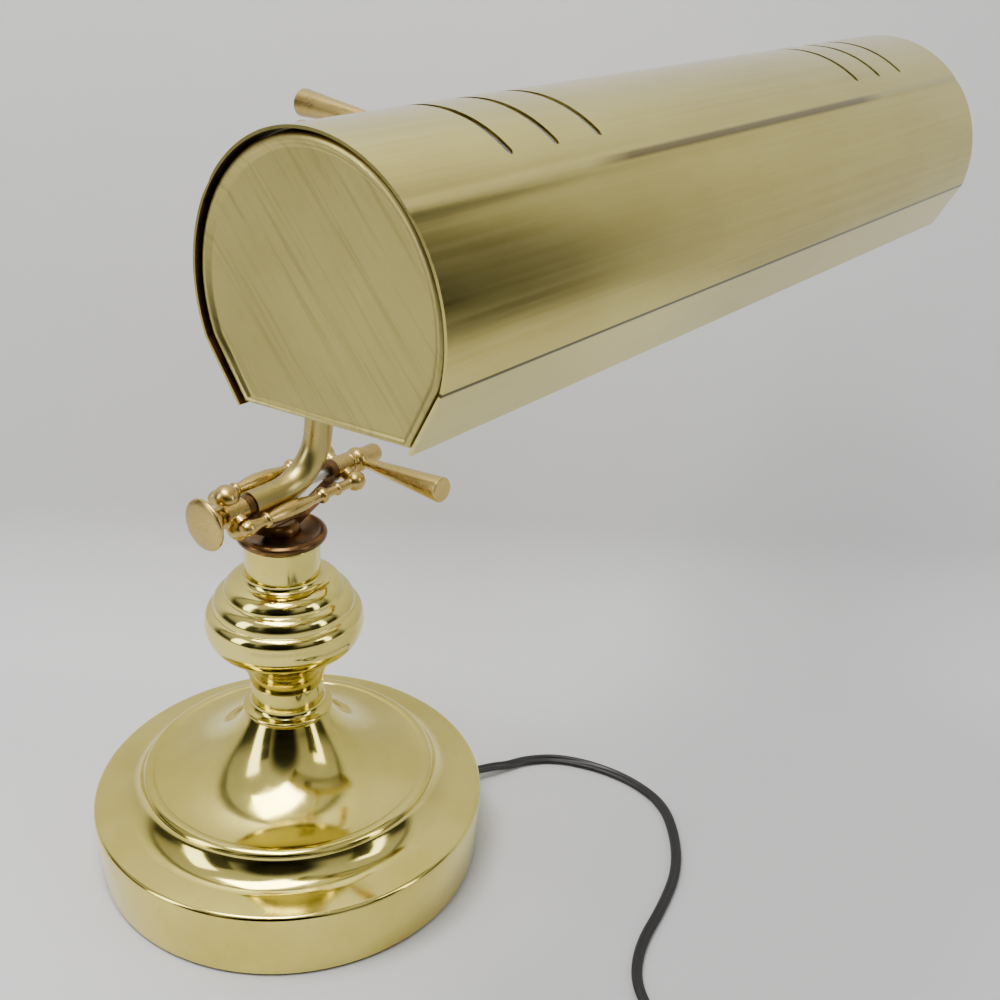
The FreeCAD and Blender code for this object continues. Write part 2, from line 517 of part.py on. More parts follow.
turned("bulb_glass", "bglass", [
    (SOCK_X + 41.8, 0), (SOCK_X + 41.8, 12.6), ((SOCK_X + 44.0, 13.0), (SOCK_X + 50.0, 14.8)), (SOCK_X + 56.0, 16.0),
    ((SOCK_X + 146.0, 16.0), (SOCK_X + 157.3, 11.3)), (SOCK_X + 162.0, 0)], BULB, "H_Axis")
w, ln, used = bent_path([(0, -26.0, 0), (0, BACK - 18.5, 0), (-72.0, BACK - 18.5, 0), (-72.0, -STEM_D + 18.4, 0)], radii=[9.0, 8.0])
feature("stem_lead", pipe(w, 1.8), STEM)

# ======================================================================== shade
R0, R1 = SHADE_RAD, SHADE_RAD - SHADE_WALL


def pol(rad, deg):
    return (rad * math.cos(math.radians(deg)), rad * math.sin(math.radians(deg)))


# outer skin: a round back and top, then a flat lip on each side down to the open chord
A_FLAT, A_EDGE = 18.3, 45.0
size("shade_flat_start_deg", A_FLAT); size("shade_edge_deg", A_EDGE)
sec = [(pol(R0, -A_FLAT), pol(R0, 10.0)), (pol(R0, 24.0), pol(R0, 90.0)), (pol(R0, 156.0), pol(R0, 170.0)),
       pol(R0, 180.0 + A_FLAT), pol(R0, 180.0 + A_EDGE), pol(R1, 180.0 + A_EDGE + 0.35),
       (pol(R1, 180.0 + A_FLAT), pol(R1, 170.0)), (pol(R1, 156.0), pol(R1, 90.0)), (pol(R1, 24.0), pol(R1, 10.0)),
       pol(R1, -A_FLAT), pol(R1, -A_EDGE - 0.35), pol(R0, -A_EDGE)]
shade = padded("shade", "YZ_Plane", sec, "shade_length", both=True)
SLOT_W = size("slot_width", 2.6)
SLOT_Y = size("slot_half_length", SHADE_RAD * math.sin(math.radians(39.5)))
slot_sk = shade.newObject("Sketcher::SketchObject", "slot_sketch")
slot_sk.AttachmentSupport = [(plane(shade, "XY_Plane"), "")]
slot_sk.MapMode = "FlatFace"
slot_x = []
for k, d in enumerate((47.9, 68.4, 89.0)):
    size("slot_from_end%d" % k, d)
    slot_x += [-SHADE_LEN / 2 + d, SHADE_LEN / 2 - d]
hw, hl = SLOT_W / 2, SLOT_Y - SLOT_W / 2
for x in slot_x:
    g1 = slot_sk.addGeometry(Part.LineSegment(V(x - hw, -hl, 0), V(x - hw, hl, 0)), False)
    g2 = slot_sk.addGeometry(Part.LineSegment(V(x + hw, -hl, 0), V(x + hw, hl, 0)), False)
    g3 = slot_sk.addGeometry(Part.ArcOfCircle(Part.Circle(V(x, hl, 0), V(0, 0, 1), hw), 0, math.pi), False)
    g4 = slot_sk.addGeometry(Part.ArcOfCircle(Part.Circle(V(x, -hl, 0), V(0, 0, 1), hw), math.pi, 2 * math.pi), False)
    for a, b, c, d in ((g3, 1, g2, 2), (g3, 2, g1, 2), (g4, 1, g1, 1), (g4, 2, g2, 1)):
        slot_sk.addConstraint(Sketcher.Constraint("Coincident", a, b, c, d))
    slot_sk.addConstraint(Sketcher.Constraint("Vertical", g1))
    slot_sk.addConstraint(Sketcher.Constraint("Vertical", g2))
    k = slot_sk.addConstraint(Sketcher.Constraint("Radius", g3, hw))
    slot_sk.setExpression("Constraints[%d]" % k, ref("slot_width") + " / 2")
    k = slot_sk.addConstraint(Sketcher.Constraint("DistanceX", -1, 1, g3, 3, x))
    k = slot_sk.addConstraint(Sketcher.Constraint("DistanceY", -1, 1, g3, 3, hl))
    slot_sk.setExpression("Constraints[%d]" % k, ref("slot_half_length") + " - " + ref("slot_width") + " / 2")
    k = slot_sk.addConstraint(Sketcher.Constraint("DistanceY", -1, 1, g4, 3, -hl))
doc.recompute()
for o in doc.Objects:
    if "Invalid" in o.State or "Error" in o.State:
        print("BAD", o.Name, o.Label, o.State, getattr(o, "getStatusString", lambda: "")())
before = shade.Shape.Volume
pk = shade.newObject("PartDesign::Pocket", "slot_pocket")
pk.Profile = slot_sk
pk.Type = "Length"
pk.Length = 80.0
pk.Reversed = True
slot_sk.Visibility = False
shade.Tip = pk
doc.recompute()
if not shade.Shape.Volume < before - 100:
    pk.Reversed = False
    doc.recompute()
print("shade volume before slots %.1f, after %.1f" % (before, shade.Shape.Volume))
# holes for the stem's nipple and for the switch, in the back of the shade
NIP_ANG = STEM_ANG - SHADE_ROLL
SW_X = size("switch_x", -100.0)
SW_ANG = size("switch_angle_deg", 6.0)
cn, sn = math.cos(math.radians(NIP_ANG)), math.sin(math.radians(NIP_ANG))
cs, ss = math.cos(math.radians(SW_ANG)), math.sin(math.radians(SW_ANG))
cut(shade, [cyl("shade_nip_hole", 3.4, 16.0, (RISER_X - SHADE_X, 37.0 * cn, 37.0 * sn), (0, cn, sn)),
            cyl("shade_switch_hole", 5.1, 14.0, (SW_X, 38.0 * cs, 38.0 * ss), (0, cs, ss))], "shade_shell", SHADE)

# end caps: dished discs with a rolled bead, let into the ends behind a narrow gap
CAP_GAP = size("cap_gap", 0.35)
CAP_SET = size("cap_inset", 0.9)


def cap_outline(rad, edge_rad):
    h = edge_rad * math.sin(math.radians(A_EDGE))
    return [(pol(rad, -A_FLAT), pol(rad, 90.0)), pol(rad, 180.0 + A_FLAT), (-(h - 0.2), -h), (h - 0.2, -h)]


for label, sg in (("near_end_cap", -1.0), ("far_end_cap", 1.0)):
    tag = label[:4] + "cap"
    rr = R1 - CAP_GAP
    size("cap_thickness", 1.4)
    outer = padded(tag, "YZ_Plane", cap_outline(rr, rr), "cap_thickness")
    rim = padded(tag + "rim", "YZ_Plane", cap_outline(rr, rr), size("cap_flange", 7.0) and "cap_flange")
    core = padded(tag + "core", "YZ_Plane", cap_outline(rr - 1.0, rr - 1.4), size("cap_core", 12.0) and "cap_core")
    core.Placement = PLC(V(1.4, 0, 0), ROT())
    blank = cut(rim, [core])
    xx = SHADE_X - SHADE_LEN / 2 + CAP_SET if sg < 0 else SHADE_X + SHADE_LEN / 2 - CAP_SET
    pl = PLC(V(xx, SHADE_Y, SHADE_Z), ROT(XAX, SHADE_ROLL))
    if sg > 0:
        pl = pl.multiply(PLC(V(0, 0, 0), ROT(V(0, 0, 1), 180.0)))
    doc.removeObject(outer.Name)
    keep(blank, label, pl)

# ---- rotary switch in the back of the shade
SWP = SHADE.multiply(PLC(V(SW_X, 0, 0), ROT(V(0, 0, 1), V(0, cs, ss))))
SWZ = R1 * math.cos(math.asin(5.0 / R1))
turned("switch_body", "swbody", [(0, 24.0), (9.0, 24.0), (9.0, R1 - 1.6), (4.9, R1 - 1.6), (4.9, R0 + 3.4), (2.2, R0 + 3.4),
                                 (2.2, R0 - 6.0), (0, R0 - 6.0)], SWP)
swn = hexnut("switch_nut", 13.0, 2.0, 4.95, (0, 0, R0 + 0.45))
swn2 = cut(swn, [cyl("switch_nut_clear", 0.4, 1.0, (40, 0, 0))], "switch_nut", SWP)
turned("switch_knob", "swknob", [
    (0, R0 - 5.6), (2.1, R0 - 5.6), (2.1, R0 + 4.2), (5.6, R0 + 4.2), ((5.6, R0 + 5.4), (4.9, R0 + 6.6)),
    (4.6, R0 + 8.0), (4.9, R0 + 14.0), ((4.9, R0 + 15.0), (4.4, R0 + 16.1)), (3.4, R0 + 16.6), (0, R0 + 16.6)], SWP)

# ======================================================================== mains cord
crad = CORD_W / 2
CZ = crad + 0.05
COIL_X, COIL_Y = size("coil_x", -40.0), size("coil_y", -221.0)
COIL_OUT, COIL_IN, COIL_HT = size("coil_outer_radius", 41.0), size("coil_inner_radius", 23.0), size("coil_height", 9.2)
turn_in = math.radians(size("coil_entry_angle_deg", -75.0))
cord_pts = [
    (cord_tip * ex, cord_tip * ey, GLAND_Z), ((cord_tip + 10.5) * ex, (cord_tip + 10.5) * ey, 6.3),
    (124.5, -54.6, 3.9), (137.0, -60.0, CZ), (150.0, -72.5, CZ), (159.0, -93.0, CZ), (163.0, -118.0, CZ),
    (157.5, -143.0, CZ), (139.5, -162.5, CZ), (115.0, -179.0, CZ), (86.0, -187.3, CZ), (58.0, -192.3, CZ),
    (38.0, -201.5, CZ), (26.5, -214.0, CZ), (17.5, -232.0, CZ), (4.0, -247.0, CZ), (-13.0, -254.0, CZ),
    (COIL_X + 38.0 * math.cos(turn_in), COIL_Y + 38.0 * math.sin(turn_in), CZ)]
w, cord_len, used = bent_path(cord_pts)
print("cord run %.1f mm, radii " % cord_len + ", ".join("%.0f (%.0f deg)" % u for u in used))
tube = pipe(w, crad)
print("cord volume %.1f, section times length %.1f" % (tube.Volume, math.pi * crad ** 2 * cord_len))
feature("mains_cord", tube)
# the put-away length: seven flat turns, three layers high, as one ring
coil = Part.makeCylinder(COIL_OUT, COIL_HT, V(COIL_X, COIL_Y, 0.05)).cut(
    Part.makeCylinder(COIL_IN, COIL_HT + 2, V(COIL_X, COIL_Y, -1)))
feature("cord_coil", coil)

# plug, lying on the table against the coil
plug_at = PLC(V(COIL_X - 67.0, COIL_Y + 2.0, 0.05), ROT(V(0, 0, 1), 0.0))
pb = [box("plug_body", 22.0, 24.0, 15.0, (-11.0, -12.0, 0)), cone("plug_nose", 5.8, 3.6, 13.0, (11.0, 0, 7.5), (1, 0, 0))]
blank = fuse(pb)
doc.recompute()
body = blank.Shape
long_edges = [e for e in body.Edges if e.Length > 14.0 and e.Curve.TypeId == "Part::GeomLine"]
fil = doc.addObject("Part::Fillet", "plug_fillet")
fil.Base = blank
fil.Edges = [(i + 1, 2.6, 2.6) for i, e in enumerate(body.Edges)
             if e.Curve.TypeId == "Part::GeomLine" and e.Length > 14.0 and abs(e.Length - 15.0) < 0.2]
keep(fil, "mains_plug", plug_at)
group([box("blade_a", 17.5, 1.6, 6.3, (-28.6, -7.1, 4.4)), box("blade_a", 17.5, 1.6, 6.3, (-28.6, 5.5, 4.4))], "plug_blades", plug_at)

# ======================================================================== check and write
doc.recompute()
bad = []
for o in doc.Objects:
    st = [s for s in o.State if s in ("Invalid", "Error")]
    if st:
        bad.append("%s %s" % (o.Label, st))
for label, o in nodes.items():
    s = o.Shape
    if s.isNull() or not s.isValid() or not s.Solids:
        bad.append("%s shape" % label)
if bad:
    raise SystemExit("failed: " + "; ".join(bad))
os.makedirs("parts", exist_ok=True)
for f in os.listdir("parts"):
    if f.endswith(".step") and f[:-5] not in nodes:
        os.remove(os.path.join("parts", f))
for label, o in sorted(nodes.items()):
    s = o.Shape
    b = s.BoundBox
    s.exportStep("parts/%s.step" % label)
    print("%-18s solids %d vol %9.1f  X %7.1f %7.1f  Y %7.1f %7.1f  Z %6.1f %6.1f" % (
        label, len(s.Solids), s.Volume, b.XMin, b.XMax, b.YMin, b.YMax, b.ZMin, b.ZMax))
print(len(nodes), "nodes")
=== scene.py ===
import bpy, bmesh, json, math
import numpy as np
from mathutils import Vector, Matrix


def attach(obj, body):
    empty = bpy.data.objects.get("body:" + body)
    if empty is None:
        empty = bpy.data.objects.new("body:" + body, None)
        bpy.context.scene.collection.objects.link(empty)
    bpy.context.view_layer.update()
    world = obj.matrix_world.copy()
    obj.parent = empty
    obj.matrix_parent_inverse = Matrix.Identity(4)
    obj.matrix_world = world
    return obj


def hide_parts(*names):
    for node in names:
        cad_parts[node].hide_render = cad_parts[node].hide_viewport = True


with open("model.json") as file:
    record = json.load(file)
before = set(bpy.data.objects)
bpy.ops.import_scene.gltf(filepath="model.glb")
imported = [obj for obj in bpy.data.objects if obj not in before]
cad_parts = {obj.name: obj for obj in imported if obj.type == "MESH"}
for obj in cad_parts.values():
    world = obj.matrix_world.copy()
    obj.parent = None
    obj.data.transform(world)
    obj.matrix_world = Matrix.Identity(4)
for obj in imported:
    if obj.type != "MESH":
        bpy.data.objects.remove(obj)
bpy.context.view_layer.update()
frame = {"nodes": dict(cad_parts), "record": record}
NODES = frame["nodes"]
D = bpy.data
COL = bpy.context.scene.collection
MM = 0.001

# ---------------------------------------------------------------------------- camera
cam = D.objects.new("camera", D.cameras.new("camera"))
COL.objects.link(cam)
fwd, right, up = Vector((0.71393, 0.54218, -0.44311)), Vector((0.6205, -0.7831, 0.04155)), Vector((0.32447, 0.30461, 0.89550))
cam.matrix_world = Matrix((
    (right.x, up.x, -fwd.x, -0.3714),
    (right.y, up.y, -fwd.y, -0.41557),
    (right.z, up.z, -fwd.z, 0.48395),
    (0, 0, 0, 1)))
cam.data.sensor_fit = "HORIZONTAL"
cam.data.sensor_width = 36.0
cam.data.lens = 45.548
cam.data.clip_start = 0.01
cam.data.clip_end = 30.0
bpy.context.scene.camera = cam

# ---------------------------------------------------------------------------- the lamp's main sizes
BASE = "base"
HINGE_Z, LEAN, ARM_LEN, RISER_X = 212.0, 8.376, 171.63, 22.5
UP_Y = -ARM_LEN * math.sin(math.radians(LEAN))
UP_Z = HINGE_Z + ARM_LEN * math.cos(math.radians(LEAN))
SHADE_X, SHADE_Y, SHADE_Z, SHADE_LEN, SHADE_RAD, SHADE_WALL, SHADE_ROLL = 25.0, -184.0, 380.4, 353.0, 46.67, 0.9, -4.15
STEM_ANG = math.degrees(math.atan2(UP_Z - SHADE_Z, UP_Y - SHADE_Y))
STEM_D = math.hypot(UP_Z - SHADE_Z, UP_Y - SHADE_Y)


def place(x=0, y=0, z=0, about_x=0.0):
    """Millimetre placement with a turn about X, as a matrix in metres."""
    return Matrix.Translation((x * MM, y * MM, z * MM)) @ Matrix.Rotation(math.radians(about_x), 4, "X")


ARM = place(0, 0, HINGE_Z, LEAN)
HINGE = place(0, 0, HINGE_Z)
UPPER = place(0, UP_Y, UP_Z)
STEM = place(RISER_X, UP_Y, UP_Z, STEM_ANG)
SHADE = place(SHADE_X, SHADE_Y, SHADE_Z, SHADE_ROLL)
AXIS = STEM @ Vector((0, -STEM_D * MM, 0))
BULB = Matrix.Translation(AXIS) @ Matrix.Rotation(math.radians(STEM_ANG), 4, "X")

# ---------------------------------------------------------------------------- mains cord
CORD_W, CORD_T = 5.8, 2.9
az = math.radians(-24.0)
ex, ey = math.cos(az), math.sin(az)
TIP = 114.0
CZ = 1.55
COIL_X, COIL_Y, COIL_TURN = -40.0, -221.0, -75.0
route = [
    (TIP * ex, TIP * ey, 7.0), ((TIP + 10.5) * ex, (TIP + 10.5) * ey, 6.3),
    (124.5, -54.6, 3.0), (137.0, -60.0, CZ), (150.0, -72.5, CZ), (159.0, -93.0, CZ), (163.0, -118.0, CZ),
    (157.5, -143.0, CZ), (139.5, -162.5, CZ), (115.0, -179.0, CZ), (86.0, -187.3, CZ), (58.0, -192.3, CZ),
    (38.0, -201.5, CZ), (26.5, -214.0, CZ), (17.5, -232.0, CZ), (4.0, -247.0, CZ), (-13.0, -254.0, CZ)]
# put-away length: seven flat turns in three layers of a neat round coil
turns = []
STEP = 30.0
layers = [(38.0, 32.0, 26.0), (26.0, 32.0, 38.0), (36.0,)]
seq = [(38.0, CZ), (32.0, CZ), (26.0, CZ), (26.0, CZ + 2.95), (32.0, CZ + 2.95), (38.0, CZ + 2.95), (36.5, CZ + 5.9), (36.5, CZ + 5.9)]
n_steps = int(7 * 360 / STEP)
for k in range(n_steps + 1):
    t = k * STEP / 360.0
    i = min(int(t), len(seq) - 2)
    r0, z0 = seq[i]
    r1, z1 = seq[i + 1]
    f = t - i
    g = max(0.0, min(1.0, (f - 0.55) / 0.40))
    g = g * g * (3 - 2 * g)
    a = math.radians(COIL_TURN - k * STEP)
    r, z = r0 + (r1 - r0) * g, z0 + (z1 - z0) * g
    turns.append((COIL_X + r * math.cos(a), COIL_Y + r * math.sin(a), z))
last_a = math.radians(COIL_TURN - n_steps * STEP)
route_all = route + turns


def nurbs_line(points, resolution=10):
    c = D.curves.new("cord_route", "CURVE")
    c.dimensions = "3D"
    s = c.splines.new("NURBS")
    s.points.add(len(points) - 1)
    for p, q in zip(s.points, points):
        p.co = (q[0] * MM, q[1] * MM, q[2] * MM, 1.0)
    s.order_u = 3
    s.use_endpoint_u = True
    s.resolution_u = resolution
    o = D.objects.new("cord_route", c)
    m = D.meshes.new_from_object(o)
    line = [Vector(v.co) for v in m.vertices]
    D.meshes.remove(m)
    D.objects.remove(o)
    D.curves.remove(c)
    return line


def new_object(name, verts, faces, smooth_deg=40.0):
    me = D.meshes.new(name)
    me.from_pydata([tuple(v) for v in verts], [], faces)
    me.validate()
    me.update()
    o = D.objects.new(name, me)
    COL.objects.link(o)
    for p in me.polygons:
        p.use_smooth = True
    if smooth_deg is not None:
        me.set_sharp_from_angle(angle=math.radians(smooth_deg))
    return o


def flat_profile():
    """Two round cores side by side with a web: (across, up) in millimetres."""
    pts = []
    lobe = CORD_T / 2
    c = CORD_W / 2 - lobe
    for k in range(13):
        a = math.radians(-128 + k * 256 / 12)
        pts.append((c + lobe * math.cos(a), lobe * math.sin(a)))
    for k in range(13):
        a = math.radians(52 + k * 256 / 12)
        pts.append((-c + lobe * math.cos(a), lobe * math.sin(a)))
    return pts


def sweep(name, line, profile, roll):
    """A tube of that profile along line; roll(s, tangent) gives the sideways direction."""
    verts, faces = [], []
    n = len(profile)
    dist = 0.0
    for i, p in enumerate(line):
        a, b = line[max(i - 1, 0)], line[min(i + 1, len(line) - 1)]
        t = (b - a).normalized()
        if i:
            dist += (p - line[i - 1]).length
        side, upv = roll(dist, t)
        for u, w in profile:
            verts.append(p + side * (u * MM) + upv * (w * MM))
    for i in range(len(line) - 1):
        for k in range(n):
            a, b = i * n + k, i * n + (k + 1) % n
            faces.append((a, b, b + n, a + n))
    faces.append(tuple(range(n - 1, -1, -1)))
    faces.append(tuple((len(line) - 1) * n + k for k in range(n)))
    return new_object(name, verts, faces, 60.0)


cord_line = nurbs_line(route_all)


def cord_roll(s, t):
    side = Vector((t.y, -t.x, 0)).normalized()
    upv = side.cross(t).normalized()
    # the ribbon stands partly on edge just after the exit, and lies flat further on
    d = s * 1000.0
    deg = 0.0
    for centre, width, amount in ((52.0, 34.0, 38.0), (150.0, 40.0, 14.0), (262.0, 30.0, -16.0)):
        deg += amount * math.exp(-((d - centre) / width) ** 2)
    q = Matrix.Rotation(math.radians(deg), 3, t)
    return q @ side, q @ upv


mains = sweep("mains_cord_tube", cord_line, flat_profile(), cord_roll)
# each section of the rolled ribbon is lifted where it would dip below the table
per = len(flat_profile())
lifts = []
for i in range(len(cord_line)):
    ring_low = min(mains.data.vertices[i * per + k].co.z for k in range(per))
    lifts.append(max(0.0, 0.00004 - ring_low))
soft_lift = [max(lifts[max(0, i - 6):i + 7]) for i in range(len(lifts))]
soft_lift = [sum(soft_lift[max(0, i - 3):i + 4]) / len(soft_lift[max(0, i - 3):i + 4]) for i in range(len(lifts))]
for i, dz in enumerate(soft_lift):
    dz = max(dz, lifts[i])
    for k in range(per):
        mains.data.vertices[i * per + k].co.z += dz
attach(mains, BASE)
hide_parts("mains_cord", "cord_coil")


# ---------------------------------------------------------------------------- turned pieces
def arc_points(a, m, b, step=4.0):
    (ax, ay), (bx, by), (cx, cy) = a, m, b
    d = 2 * (ax * (by - cy) + bx * (cy - ay) + cx * (ay - by))
    ux = ((ax * ax + ay * ay) * (by - cy) + (bx * bx + by * by) * (cy - ay) + (cx * cx + cy * cy) * (ay - by)) / d
    uy = ((ax * ax + ay * ay) * (cx - bx) + (bx * bx + by * by) * (ax - cx) + (cx * cx + cy * cy) * (bx - ax)) / d
    r = math.hypot(ax - ux, ay - uy)
    a0, a1 = math.atan2(ay - uy, ax - ux), math.atan2(cy - uy, cx - ux)
    ccw = ((bx - ax) * (cy - ay) - (by - ay) * (cx - ax)) > 0
    if ccw and a1 < a0:
        a1 += 2 * math.pi
    if not ccw and a1 > a0:
        a1 -= 2 * math.pi
    n = max(3, int(abs(math.degrees(a1 - a0)) / step) + 1)
    return [(ux + r * math.cos(a0 + (a1 - a0) * k / n), uy + r * math.sin(a0 + (a1 - a0) * k / n)) for k in range(n)]


def trace(path, closed=True):
    out = []
    n = len(path)
    for i in range(n if closed else n - 1):
        p, q = path[i], path[(i + 1) % n]
        b = q[0] if isinstance(q[0], tuple) else q
        if isinstance(p[0], tuple):
            out += arc_points(p[0], p[1], b)
        else:
            out.append(p)
    if not closed:
        q = path[-1]
        out.append(q[0] if isinstance(q[0], tuple) else q)
    return out


def eased(points, radius, closed=True, limit=25.0):
    """Rounds the sharp corners of an outline with small arcs."""
    out = []
    n = len(points)
    for i in range(n):
        p = Vector(points[i])
        if not closed and i in (0, n - 1):
            out.append(tuple(p))
            continue
        a, b = Vector(points[i - 1]), Vector(points[(i + 1) % n])
        d1, d2 = (p - a), (b - p)
        l1, l2 = d1.length, d2.length
        if l1 < 1e-9 or l2 < 1e-9:
            continue
        d1.normalize(); d2.normalize()
        turn = math.acos(max(-1, min(1, d1.dot(d2))))
        if math.degrees(turn) < limit or turn > 3.1:
            out.append(tuple(p))
            continue
        t = min(radius * math.tan(turn / 2), 0.42 * l1, 0.42 * l2)
        s, e = p - d1 * t, p + d2 * t
        for k in range(5):
            f = k / 4
            q = s.lerp(p, f).lerp(p.lerp(e, f), f)
            out.append((q.x, q.y))
    return out


def turned(name, path, matrix=None, about="Z", seg=128, ease=0.35, body=None, node=None, slot=None, mat=None):
    """Revolves an outline of (radius, height), or of (x, radius) about X."""
    pts = eased(trace(path), ease)
    if about == "X":
        pts = [(r, x) for x, r in pts]
    verts, faces = [], []
    rows = []
    for r, h in pts:
        if r < 1e-6:
            rows.append([len(verts)])
            verts.append(Vector((0, 0, h * MM)))
        else:
            rows.append(list(range(len(verts), len(verts) + seg)))
            for k in range(seg):
                a = 2 * math.pi * k / seg
                verts.append(Vector((r * MM * math.cos(a), r * MM * math.sin(a), h * MM)))
    n = len(rows)
    for i in range(n):
        A, B = rows[i], rows[(i + 1) % n]
        if len(A) == 1 and len(B) == 1:
            continue
        for k in range(seg):
            k2 = (k + 1) % seg
            if len(A) == 1:
                faces.append((A[0], B[k2], B[k]))
            elif len(B) == 1:
                faces.append((A[k], A[k2], B[0]))
            else:
                faces.append((A[k], A[k2], B[k2], B[k]))
    if about == "X":
        m = Matrix(((0, 0, 1, 0), (1, 0, 0, 0), (0, 1, 0, 0), (0, 0, 0, 1)))
    else:
        m = Matrix.Identity(4)
    m = (matrix or Matrix.Identity(4)) @ m
    verts = [m @ v for v in verts]
    o = new_object(name, verts, faces)
    bm = bmesh.new()
    bm.from_mesh(o.data)
    bmesh.ops.recalc_face_normals(bm, faces=bm.faces)
    bm.to_mesh(o.data)
    bm.free()
    for p in o.data.polygons:
        p.use_smooth = True
    o.data.set_sharp_from_angle(angle=math.radians(38))
    finish_piece(o, body, node, slot, mat)
    return o


def finish_piece(o, body, node, slot, mat):
    if body:
        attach(o, body)
    if node:
        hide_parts(*([node] if isinstance(node, str) else node))
    if mat:
        o.data.materials.clear()
        o.data.materials.append(mat)


# ---------------------------------------------------------------------------- materials
class Nodes:
    def __init__(self, name):
        self.mat = D.materials.new(name)
        self.mat.use_nodes = True
        self.t = self.mat.node_tree
        self.t.nodes.clear()
        self.out = self.n("ShaderNodeOutputMaterial")
        self.bsdf = self.n("ShaderNodeBsdfPrincipled")
        self.link(self.bsdf.outputs[0], self.out.inputs[0])
        self.co = self.n("ShaderNodeTexCoord").outputs["Object"]

    def n(self, kind, **props):
        node = self.t.nodes.new(kind)
        for k, v in props.items():
            setattr(node, k, v)
        return node

    def link(self, a, b):
        self.t.links.new(a, b)

    def mapped(self, scale=(1, 1, 1), rot=(0, 0, 0), loc=(0, 0, 0)):
        m = self.n("ShaderNodeMapping")
        m.inputs["Scale"].default_value = scale
        m.inputs["Rotation"].default_value = rot
        m.inputs["Location"].default_value = loc
        self.link(self.co, m.inputs["Vector"])
        return m.outputs[0]

    def noise(self, vec, scale, detail=4.0, rough=0.55, distortion=0.0):
        x = self.n("ShaderNodeTexNoise")
        x.inputs["Scale"].default_value = scale
        x.inputs["Detail"].default_value = detail
        x.inputs["Roughness"].default_value = rough
        x.inputs["Distortion"].default_value = distortion
        self.link(vec, x.inputs["Vector"])
        return x.outputs["Fac"]

    def ramp(self, fac, stops):
        r = self.n("ShaderNodeValToRGB")
        el = r.color_ramp.elements
        while len(el) > len(stops):
            el.remove(el[-1])
        while len(el) < len(stops):
            el.new(0.5)
        for e, (p, c) in zip(el, stops):
            e.position = p
            e.color = (c, c, c, 1) if isinstance(c, (int, float)) else (c[0], c[1], c[2], 1)
        self.link(fac, r.inputs["Fac"])
        return r.outputs["Color"]

    def math(self, op, a, b=None, c=None):
        m = self.n("ShaderNodeMath", operation=op)
        for i, v in enumerate((a, b, c)):
            if v is None:
                continue
            if isinstance(v, (int, float)):
                m.inputs[i].default_value = v
            else:
                self.link(v, m.inputs[i])
        return m.outputs[0]

    def mix(self, fac, a, b, mode="MIX"):
        m = self.n("ShaderNodeMix", data_type="RGBA", blend_type=mode)
        for i, v in ((0, fac), (6, a), (7, b)):
            if isinstance(v, (int, float)):
                m.inputs[i].default_value = v
            elif isinstance(v, tuple):
                m.inputs[i].default_value = (v[0], v[1], v[2], 1)
            else:
                self.link(v, m.inputs[i])
        return m.outputs[2]

    def bump(self, height, strength, distance, normal=None):
        b = self.n("ShaderNodeBump")
        b.inputs["Strength"].default_value = strength
        b.inputs["Distance"].default_value = distance
        self.link(height, b.inputs["Height"])
        if normal is not None:
            self.link(normal, b.inputs["Normal"])
        return b.outputs[0]

    def set(self, **kw):
        for k, v in kw.items():
            key = k.replace("_", " ")
            sock = self.bsdf.inputs[key]
            if isinstance(v, (int, float)):
                sock.default_value = v
            elif isinstance(v, tuple):
                sock.default_value = (v[0], v[1], v[2], 1) if len(v) == 3 else v
            else:
                self.link(v, sock)
        return self


def polished_brass(name, tone, dark, rough=(0.07, 0.16), scratch=0.10, cloud=9.0, wear=0.25):
    m = Nodes(name)
    big = m.noise(m.mapped((cloud, cloud, cloud)), 1.6, 5.0, 0.6)
    col = m.ramp(big, [(0.32, dark), (0.62, tone)])
    spots = m.noise(m.mapped((1, 1, 1)), 420.0, 2.0, 0.5)
    col = m.mix(m.math("MULTIPLY", m.ramp(spots, [(0.66, 0.0), (0.76, 1.0)]), wear), col, tuple(c * 0.62 for c in dark))
    smear = m.noise(m.mapped((14, 14, 30)), 3.0, 6.0, 0.65, 1.2)
    fine = m.noise(m.mapped((900, 900, 900)), 1.0, 2.0, 0.6)
    r = m.ramp(smear, [(0.30, rough[0]), (0.72, rough[1])])
    m.set(Base_Color=col, Metallic=1.0, Roughness=r)
    s1 = m.noise(m.mapped((60, 60, 1400)), 1.0, 2.0, 0.5)
    s2 = m.noise(m.mapped((1500, 80, 90), rot=(0.2, 0.5, 0.7)), 1.0, 2.0, 0.5)
    h = m.math("ADD", m.math("MULTIPLY", s1, 0.5), m.math("MULTIPLY", s2, 0.5))
    b = m.bump(fine, scratch * 0.35, 0.00004)
    b = m.bump(h, scratch, 0.00004, b)
    wob = m.noise(m.mapped((1, 1, 1)), 55.0, 2.0, 0.5)
    b = m.bump(wob, 0.10, 0.00018, b)
    m.link(b, m.bsdf.inputs["Normal"])
    return m.mat


